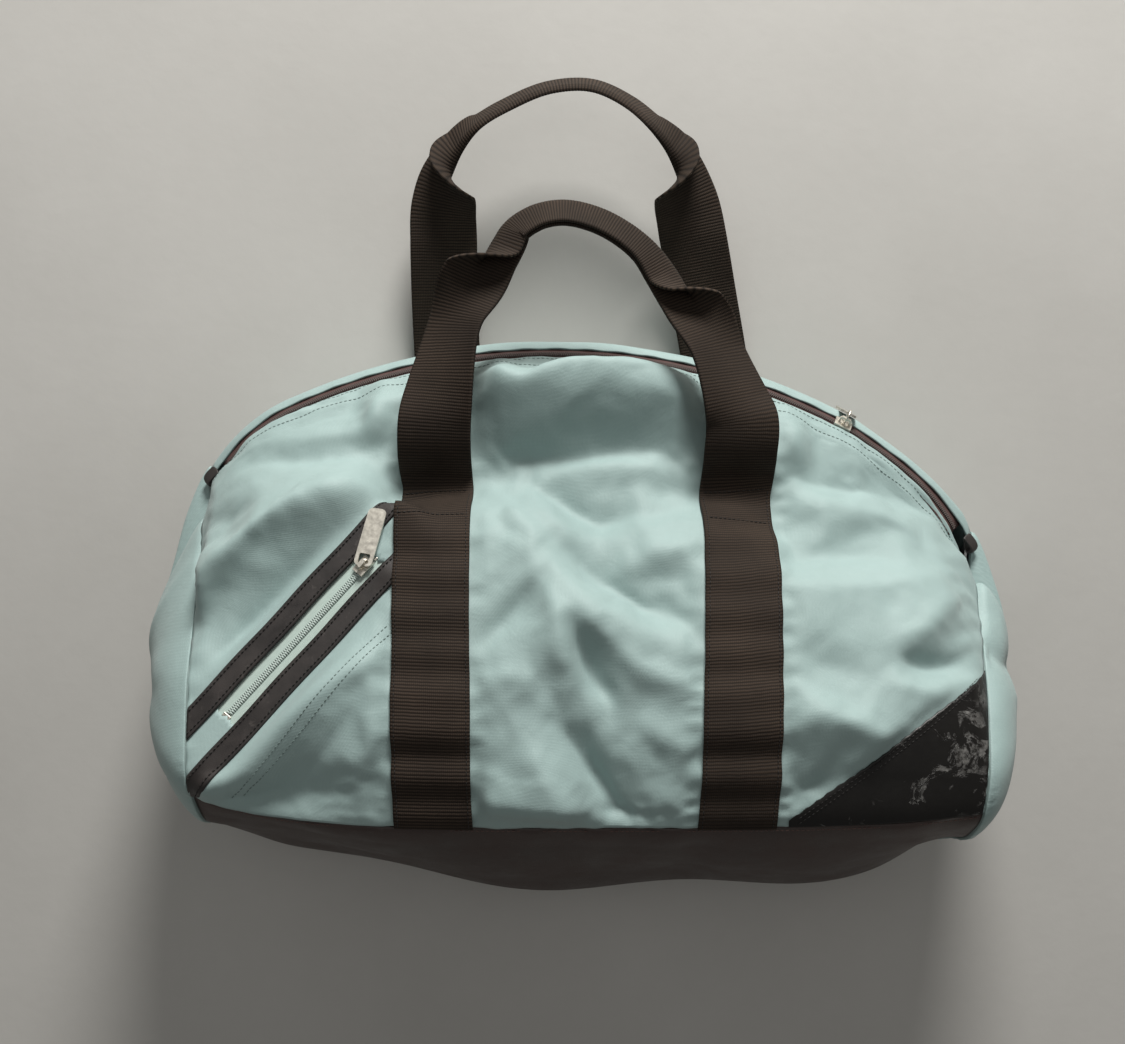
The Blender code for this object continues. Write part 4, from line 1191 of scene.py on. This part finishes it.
def front_strap_rows(surface, side, count):
    """A sewn strap from the base seam to its top end, as rows of points across it."""
    base_x, hinge_x = STRAP_X[side]
    rows = []
    for share in np.linspace(0, 1, count):
        middle = mix(base_x, hinge_x, share)
        x = middle + np.linspace(-0.5, 0.5, PROFILE) * WEB_WIDTH
        end = np.array([front_station(value, FRONT_HINGE_Y - 0.003) for value in x])
        rows.append(surface.at(x, mix(SEWN_FROM, end, share), STRAP_LIFT))
    return np.array(rows)


def sweep(stations, keep_side):
    """A webbing strip through stations, as rows of points across it.

    Each station: its crease, its kept half's free edge and the degrees its other half folds over.
    """
    crease, edge = (np.array([station[part] for station in stations]) for part in (0, 1))
    turn = [math.radians(station[2]) for station in stations]
    stretch = np.linspace(0, len(stations) - 1, 400)
    gone = lengths_along(smooth_curve(crease, stretch))
    count = int(gone[-1] / WEBBING_STEP)
    t = np.interp(np.linspace(0, gone[-1], count), gone, stretch)
    crease, edge = smooth_curve(crease, t), smooth_curve(edge, t)
    fold_angle = np.interp(t, np.arange(len(stations)), turn)
    fold_angle = smooth_step(fold_angle / math.pi) * math.radians(176)
    along = unit(np.gradient(crease, axis=0))
    keep = edge - crease
    keep = unit(keep - along * np.sum(keep * along, axis=1, keepdims=True))
    over = unit(np.cross(along, keep)) * keep_side
    half = WEB_WIDTH / 2
    rows = np.empty((count, PROFILE, 3))
    for column, share in enumerate(np.linspace(-1, 1, PROFILE)):
        if share <= 0:
            rows[:, column] = crease + keep * half * -share
            continue
        turned = -keep * np.cos(fold_angle)[:, None] + over * np.sin(fold_angle)[:, None] * 0.55
        gap = 0.0013 * (1 - np.cos(fold_angle))[:, None]
        ease = min(1.0, share * 6)
        rows[:, column] = crease + turned * half * share + over * gap * ease
    return rows


def ribbed(name, rows):
    """Webbing through rows of points, with its ribs pressed into the mesh."""
    normals = unit(np.cross(np.gradient(rows, axis=1), np.gradient(rows, axis=0)))
    gone = lengths_along(rows[:, PROFILE // 2])
    width = np.linspace(-0.5, 0.5, PROFILE)
    inner = smooth_step((0.5 - np.abs(width)) / 0.05)
    rib = RIB_DEPTH * np.sin(2 * math.pi * gone / RIB_PITCH)[:, None] * inner[None, :]
    rows = rows + normals * rib[..., None]
    u = np.broadcast_to(gone[:, None], rows.shape[:2])
    v = np.broadcast_to(width[None, :] * WEB_WIDTH, rows.shape[:2])
    item = grid_object(name, rows, WEBBING, uvs=np.stack([u, v], axis=2))
    return thicken(item, WEB_THICKNESS, 0.0)


def front_webbing(surface):
    """Both sewn front straps and the handle between them, as one length of webbing."""
    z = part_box("front_handle")[1][2] - 0.0015
    left, right = (front_strap_rows(surface, side, 400) for side in ("left", "right"))
    grip = z - 0.018
    up, down = 0.0075, -0.0075
    stations = (
        ((-0.0995, -0.002, left[-1, PROFILE // 2][2]), (-0.0745, -0.002, left[-1, -1][2]), 0),
        ((-0.1000, 0.012, z - 0.0115), (-0.0750, 0.012, z - 0.0095), 0),
        ((-0.0995, 0.034, z - 0.006), (-0.0755, 0.033, z - 0.003), 0),
        ((-0.0960, 0.060, z - 0.009), (-0.0755, 0.056, z + 0.001), 0),
        ((-0.0860, 0.104, z - 0.019), (-0.0680, 0.099, z - 0.003), 8),
        ((-0.0720, 0.136, z - 0.021), (-0.0500, 0.130, z - 0.014), 50),
        ((-0.0665, 0.148, z - 0.022), (-0.0450, 0.141, z - 0.014), 112),
        ((-0.0610, 0.158, z - 0.023), (-0.0400, 0.150, z - 0.014), 165),
        ((-0.0530, 0.171, grip + down), (-0.0335, 0.159, grip + up), 180),
        ((-0.0370, 0.182, grip + down), (-0.0240, 0.166, grip + up), 180),
        ((-0.0140, 0.187, grip + down), (-0.0130, 0.168, grip + up), 180),
        ((0.0120, 0.182, grip + down), (0.0030, 0.165, grip + up), 180),
        ((0.0320, 0.172, grip + down), (0.0180, 0.158, grip + up), 180),
        ((0.0510, 0.157, grip + down), (0.0350, 0.142, grip + up), 180),
        ((0.0640, 0.140, z - 0.024), (0.0470, 0.126, z - 0.013), 172),
        ((0.0720, 0.126, z - 0.022), (0.0530, 0.116, z - 0.012), 125),
        ((0.0780, 0.114, z - 0.020), (0.0580, 0.106, z - 0.009), 66),
        ((0.0930, 0.083, z - 0.016), (0.0750, 0.077, z + 0.000), 10),
        ((0.1040, 0.052, z - 0.009), (0.0825, 0.053, z + 0.000), 0),
        ((0.1085, 0.034, z - 0.007), (0.0845, 0.034, z - 0.004), 0),
        ((0.1080, 0.012, z - 0.0125), (0.0830, 0.012, z - 0.0105), 0),
        ((0.1075, -0.002, right[-1, PROFILE // 2][2]), (0.0825, -0.002, right[-1, 0][2]), 0),
    )
    loop = sweep(stations, -1)
    # Columns run from the inner edge to the outer one, as on the straps once they are turned.
    rows = np.concatenate([left[:, ::-1], loop[1:-1], right[::-1]])
    webbing = ribbed("front_webbing", rows)
    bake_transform(webbing)
    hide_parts("front_handle", "front_strap_left", "front_strap_right")
    strap_stitching(surface)


def strap_stitching(surface):
    """Both long edges of each front strap, and the two rows across its top end."""
    lines = []
    for base_x, hinge_x in STRAP_X.values():
        for edge in (-0.5, 0.5):
            share = np.linspace(0.01, 0.985, 90)
            x = mix(base_x, hinge_x, share) + edge * (WEB_WIDTH - 0.005)
            end = np.array([front_station(value, FRONT_HINGE_Y - 0.004) for value in x])
            lines.append(surface.at(x, mix(SEWN_FROM, end, share), ON_WEBBING))
        x = hinge_x + np.linspace(-0.5, 0.5, 30) * (WEB_WIDTH - 0.006)
        for offset in (0.006, 0.030):
            lines.append(surface.at_plan(x, np.full(30, FRONT_HINGE_Y - offset), ON_WEBBING))
    on_bag(stitches("strap_stitching", lines, DARK_THREAD), "webbing")


def back_webbing():
    z = 0.0022
    grip = 0.056
    up, down = 0.0105, -0.0105
    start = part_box("back_strap_left")[0][1]
    stations = (
        ((-0.1000, start, 0.0018), (-0.1250, start, 0.0018), 0),
        ((-0.1000, 0.030, 0.0018), (-0.1250, 0.030, 0.0018), 0),
        ((-0.1000, 0.058, z), (-0.1250, 0.058, z), 0),
        ((-0.1010, 0.090, z + 0.005), (-0.1260, 0.090, z + 0.005), 0),
        ((-0.1020, 0.130, z + 0.016), (-0.1270, 0.130, z + 0.016), 0),
        ((-0.1020, 0.175, z + 0.029), (-0.1265, 0.175, z + 0.029), 0),
        ((-0.1015, 0.200, z + 0.036), (-0.1245, 0.202, z + 0.031), 0),
        ((-0.0985, 0.214, z + 0.041), (-0.1195, 0.221, z + 0.033), 25),
        ((-0.0935, 0.226, z + 0.047), (-0.1100, 0.236, z + 0.035), 110),
        ((-0.0870, 0.237, z + 0.054), (-0.0970, 0.246, z + 0.037), 172),
        ((-0.0740, 0.251, grip + up), (-0.0810, 0.259, grip + down), 180),
        ((-0.0480, 0.267, grip + up), (-0.0530, 0.276, grip + down), 180),
        ((-0.0200, 0.278, grip + up), (-0.0220, 0.288, grip + down), 180),
        ((0.0080, 0.279, grip + up), (0.0100, 0.289, grip + down), 180),
        ((0.0320, 0.268, grip + up), (0.0370, 0.277, grip + down), 180),
        ((0.0510, 0.251, grip + up), (0.0600, 0.259, grip + down), 180),
        ((0.0640, 0.236, z + 0.056), (0.0760, 0.244, z + 0.040), 172),
        ((0.0700, 0.226, z + 0.049), (0.0870, 0.234, z + 0.036), 110),
        ((0.0750, 0.214, z + 0.042), (0.0960, 0.220, z + 0.033), 25),
        ((0.0800, 0.200, z + 0.036), (0.1040, 0.204, z + 0.031), 0),
        ((0.0850, 0.178, z + 0.029), (0.1100, 0.180, z + 0.029), 0),
        ((0.0940, 0.135, z + 0.016), (0.1190, 0.137, z + 0.016), 0),
        ((0.1030, 0.090, z + 0.005), (0.1280, 0.091, z + 0.005), 0),
        ((0.1080, 0.058, z), (0.1330, 0.058, z), 0),
        ((0.1080, 0.030, 0.0018), (0.1330, 0.030, 0.0018), 0),
        ((0.1080, start, 0.0018), (0.1330, start, 0.0018), 0),
    )
    webbing = ribbed("back_webbing", sweep(stations, 1))
    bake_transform(webbing)
    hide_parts("back_handle", "back_strap_left", "back_strap_right")


# ---- The main zip


def zip_row(x_values, offset, lift):
    """The zip's line, moved across it and outward."""
    row = []
    for x in x_values:
        _, normal, across = zip_axes(x)
        row.append(zip_line(x) + across * offset + normal * lift)
    return row


ZIP_REACH = HALF_LENGTH - 0.012  # how far the main zip runs each way


def main_zip():
    x_values = np.linspace(-ZIP_REACH, ZIP_REACH, 160)
    for name, low, high in (("front", -0.0095, -0.0006), ("back", 0.0006, 0.0095)):
        grid = np.array([zip_row(x_values, step, -0.0020) for step in np.linspace(low, high, 5)])
        tape = grid_object(f"zip_tape_{name}", grid, MAIN_TAPE, flip=True)
        thicken(tape, 0.0007)
        on_bag(tape, "zip_tape", f"zip_tape_{name}")
    coil_teeth("zip_coil", main_coil_lines(), MAIN_COIL)


MAIN_PITCH, POCKET_PITCH = 0.00145, 0.0016  # a coil's turns
TOOTH_REACH, TOOTH_PAST, TOOTH_RADIUS = 0.0024, 0.0006, 0.00062
TOOTH_DEPTH = -0.0006


def main_coil_lines():
    """The start, end and upward way of each turn of the two coils that mesh."""
    fine = np.linspace(-ZIP_REACH, ZIP_REACH, 1200)
    gone = lengths_along(np.array([zip_line(x) for x in fine]))
    starts, finishes, ups = [], [], []
    for number, at in enumerate(np.arange(0.001, gone[-1] - 0.001, MAIN_PITCH / 2)):
        x = float(np.interp(at, gone, fine))
        _, normal, across = zip_axes(x)
        side = 1 if number % 2 else -1
        centre = zip_line(x) + normal * TOOTH_DEPTH
        starts.append(centre + across * TOOTH_REACH * side)
        finishes.append(centre - across * TOOTH_PAST * side)
        ups.append(normal)
    return np.array(starts), np.array(finishes), np.array(ups)


def coil_teeth(name, lines, material):
    starts, finishes, ups = lines
    coil = capsules(name, starts, finishes, TOOTH_RADIUS, material, lift=ups)
    on_bag(coil, name, name)


def crest_stitching(surface, panel):
    """Two rows through the front panel, along the main zip."""
    x = np.linspace(-ZIP_REACH, ZIP_REACH, 200)
    lines = []
    for offset in (0.0030, 0.0100):
        t = FRONT_EDGE - offset / ZIP_FLAT
        lines.append(laid_on(panel, surface.at(x, np.full(200, t)), 0.0001))
    on_bag(stitches("crest_stitching", lines, MINT_THREAD, 0.00034), "mint_fabric")


def base_stitching(base_surface):
    x = np.linspace(-HALF_LENGTH + 0.004, HALF_LENGTH - 0.004, 200)
    line = base_surface.at(x, np.full(200, BASE_SEAM - 0.09), 0.0004)
    on_bag(stitches("base_stitching", [line], RED_THREAD, 0.00026), "coated_base")


def end_seams(surface_all):
    """The raised, folded edge that runs round each end seam, coloured darker than the fabric as
    painted shade along the seam line.
    """
    for name, side in (("left", -1), ("right", 1)):
        t = np.linspace(0, STATIONS, 260)
        line = surface_all.at(np.full(260, side * HALF_LENGTH), t, -0.0003)
        curve = bpy.data.curves.new(f"end_seam_painted_shade_{name}", "CURVE")
        curve.dimensions = "3D"
        curve.bevel_depth = 0.0011
        curve.bevel_resolution = 2
        spline = curve.splines.new("POLY")
        spline.points.add(len(line) - 2)
        for point, place in zip(spline.points, line[:-1]):
            point.co = (*place, 1)
        spline.use_cyclic_u = True
        curve.materials.append(SEAM)
        on_bag(link_object(curve.name, curve), "mint_fabric")


# ---- The pocket


def pocket_point(along, across, lift):
    return (
        POCKET_ORIGIN
        + np.multiply.outer(along, POCKET_ALONG)
        + np.multiply.outer(across, POCKET_ACROSS)
        + np.multiply.outer(lift, POCKET_NORMAL)
    )


FACING_ENDS = {"upper": (-0.036, 0.210), "lower": (-0.026, 0.220)}  # along the pocket


def facing_grid(surface, name):
    """One facing, from under the strap to the end seam, with a crowned middle."""
    side = -1 if name == "upper" else 1
    inner = side * (POCKET_SLOT + FACING_SETBACK)
    outer = side * (POCKET_SLOT + FACING_SETBACK + FACING_WIDTH)
    ends = FACING_ENDS[name]
    offsets = np.linspace(inner, outer, 13)
    edge = np.minimum(np.abs(offsets - inner), np.abs(offsets - outer))
    crown = 0.0009 + 0.0007 * smooth_step(edge / 0.0016)
    fine = np.linspace(*ends, 300)
    grid = np.empty((len(offsets), 110, 3))
    for row, (offset, lift) in enumerate(zip(offsets, crown)):
        plan = pocket_point(fine, offset + 0 * fine, 0 * fine)
        flat = np.array([flat_x(x, y) for x, y in plan[:, :2]])
        base_y = BASE_SEAM_Y + 0.0025 + BASE_SEAM_BOW * (flat / HALF_LENGTH) ** 2
        last = fine[(flat > -HALF_LENGTH + 0.0008) & (plan[:, 1] > base_y)][-1]
        along = np.linspace(ends[0], last, 110)
        wobble = 0.0003 * np.sin(along * 90 + (1 if name == "upper" else 2))
        plan = pocket_point(along, offset + wobble, 0 * along)
        grid[row] = surface.at_plan(plan[:, 0], plan[:, 1], lift)
    return grid


def pocket_facings(surface):
    lines = []
    for name in ("upper", "lower"):
        grid = facing_grid(surface, name)
        facing = grid_object(f"pocket_facing_{name}", grid, FACING, flip=name == "upper")
        thicken(facing, 0.0008)
        on_bag(facing, "dark_trim", f"pocket_facing_{name}")
        lines += [grid[row] + POCKET_NORMAL * 0.0006 for row in (2, -3)]
    on_bag(stitches("facing_stitching", lines, DARK_THREAD, 0.00036), "dark_trim")


def pocket_zip():
    along = np.linspace(-0.010, POCKET_LENGTH + 0.006, 70)
    for name, side in (("upper", -1), ("lower", 1)):
        across = np.linspace(0.0005, 0.0105, 5) * side
        rows = [pocket_point(along, 0 * along + offset, 0 * along - 0.0013) for offset in across]
        tape = grid_object(f"pocket_tape_{name}", np.array(rows), POCKET_TAPE, flip=side < 0)
        thicken(tape, 0.0007)
        on_bag(tape, "pocket_tape", f"pocket_tape_{name}")
    starts, finishes = [], []
    for number, at in enumerate(np.arange(0.003, POCKET_LENGTH - 0.003, POCKET_PITCH / 2)):
        side = 1 if number % 2 else -1
        starts.append(pocket_point(at, TOOTH_REACH * side, TOOTH_DEPTH))
        finishes.append(pocket_point(at, -TOOTH_PAST * side, TOOTH_DEPTH))
    ups = np.broadcast_to(POCKET_NORMAL, (len(starts), 3))
    coil_teeth("pocket_coil", (np.array(starts), np.array(finishes), ups), POCKET_COIL)


def pocket_seam(surface, panel):
    """The pocket's lower edge, sewn down with two rows of thread in the panel's colour."""
    rows = []
    for offset in (0.0410, 0.0460):
        along = np.linspace(0.030, 0.196, 90)
        plan = pocket_point(along, offset + 0 * along, 0 * along)
        inside = (plan[:, 0] > -HALF_LENGTH + 0.004) & (plan[:, 1] > -0.212)
        rows.append(laid_on(panel, surface.at_plan(plan[inside, 0], plan[inside, 1]), 0.0001))
    on_bag(stitches("pocket_seam_stitching", rows, MINT_THREAD, 0.00034), "mint_fabric")


TAB_LENGTH, TAB_WIDTH, TAB_HEIGHT = 0.0125, 0.0105, 0.0065


def zip_end_tabs():
    """A short loop of trim folded over each end of the main zip's tape."""
    turn = np.linspace(0, 2 * math.pi, 36, endpoint=False)
    across = np.linspace(-0.5, 0.5, 9)
    for name, side in (("left", -1), ("right", 1)):
        low, high = (np.array(corner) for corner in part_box(f"zip_end_tab_{name}"))
        centre = (low + high) / 2
        along, normal, over = zip_axes(side * (HALF_LENGTH - 0.006))
        outward = along * side
        grid = np.empty((len(across), len(turn), 3))
        for row, share in enumerate(across):
            pinch = 1 - 0.16 * (2 * share) ** 4
            reach = TAB_LENGTH / 2 * np.cos(turn) * pinch
            rise = TAB_HEIGHT / 2 * np.sin(turn) * (0.62 + 0.38 * np.cos(turn))
            place = centre + np.multiply.outer(reach, outward) + np.multiply.outer(rise, normal)
            grid[row] = place + over * share * TAB_WIDTH
        tab = grid_object(f"zip_end_tab_{name}", grid, FACING, ring=True, flip=side > 0)
        subdivide(thicken(tab, 0.0012, 0.0))
        on_bag(tab, "dark_trim", f"zip_end_tab_{name}")


# ---- Metal and hidden pieces keep their CAD shape


def finish_cad_nodes():
    """Gives each carried-over node its finished material."""
    metal = ("main_slider", "main_pull_ring", "main_pull_tab", "pocket_slider", "pocket_pull")
    metal += ("pocket_stop_top", "pocket_stop_bottom")
    inner = ("pocket_pouch", "seam_binding_left", "seam_binding_right")
    for names, material in ((metal, NICKEL), (inner, LINING)):
        for name in names:
            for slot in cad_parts[name].material_slots:
                slot.material = material


def main():
    studio()
    surface = Surface(BASE_SEAM, ZIP_STATION)
    base_surface = Surface(0.0, BASE_SEAM, folds=False)
    whole = Surface(0.0, STATIONS, step_x=0.02, rows=400)
    panel = front_panel()
    back_panel()
    base_panel()
    end_panel("left", -1)
    end_panel("right", 1)
    corner_patch(surface)
    front_webbing(surface)
    back_webbing()
    main_zip()
    crest_stitching(surface, panel)
    base_stitching(base_surface)
    end_seams(whole)
    pocket_facings(surface)
    pocket_zip()
    pocket_seam(surface, panel)
    zip_end_tabs()
    finish_cad_nodes()


main()
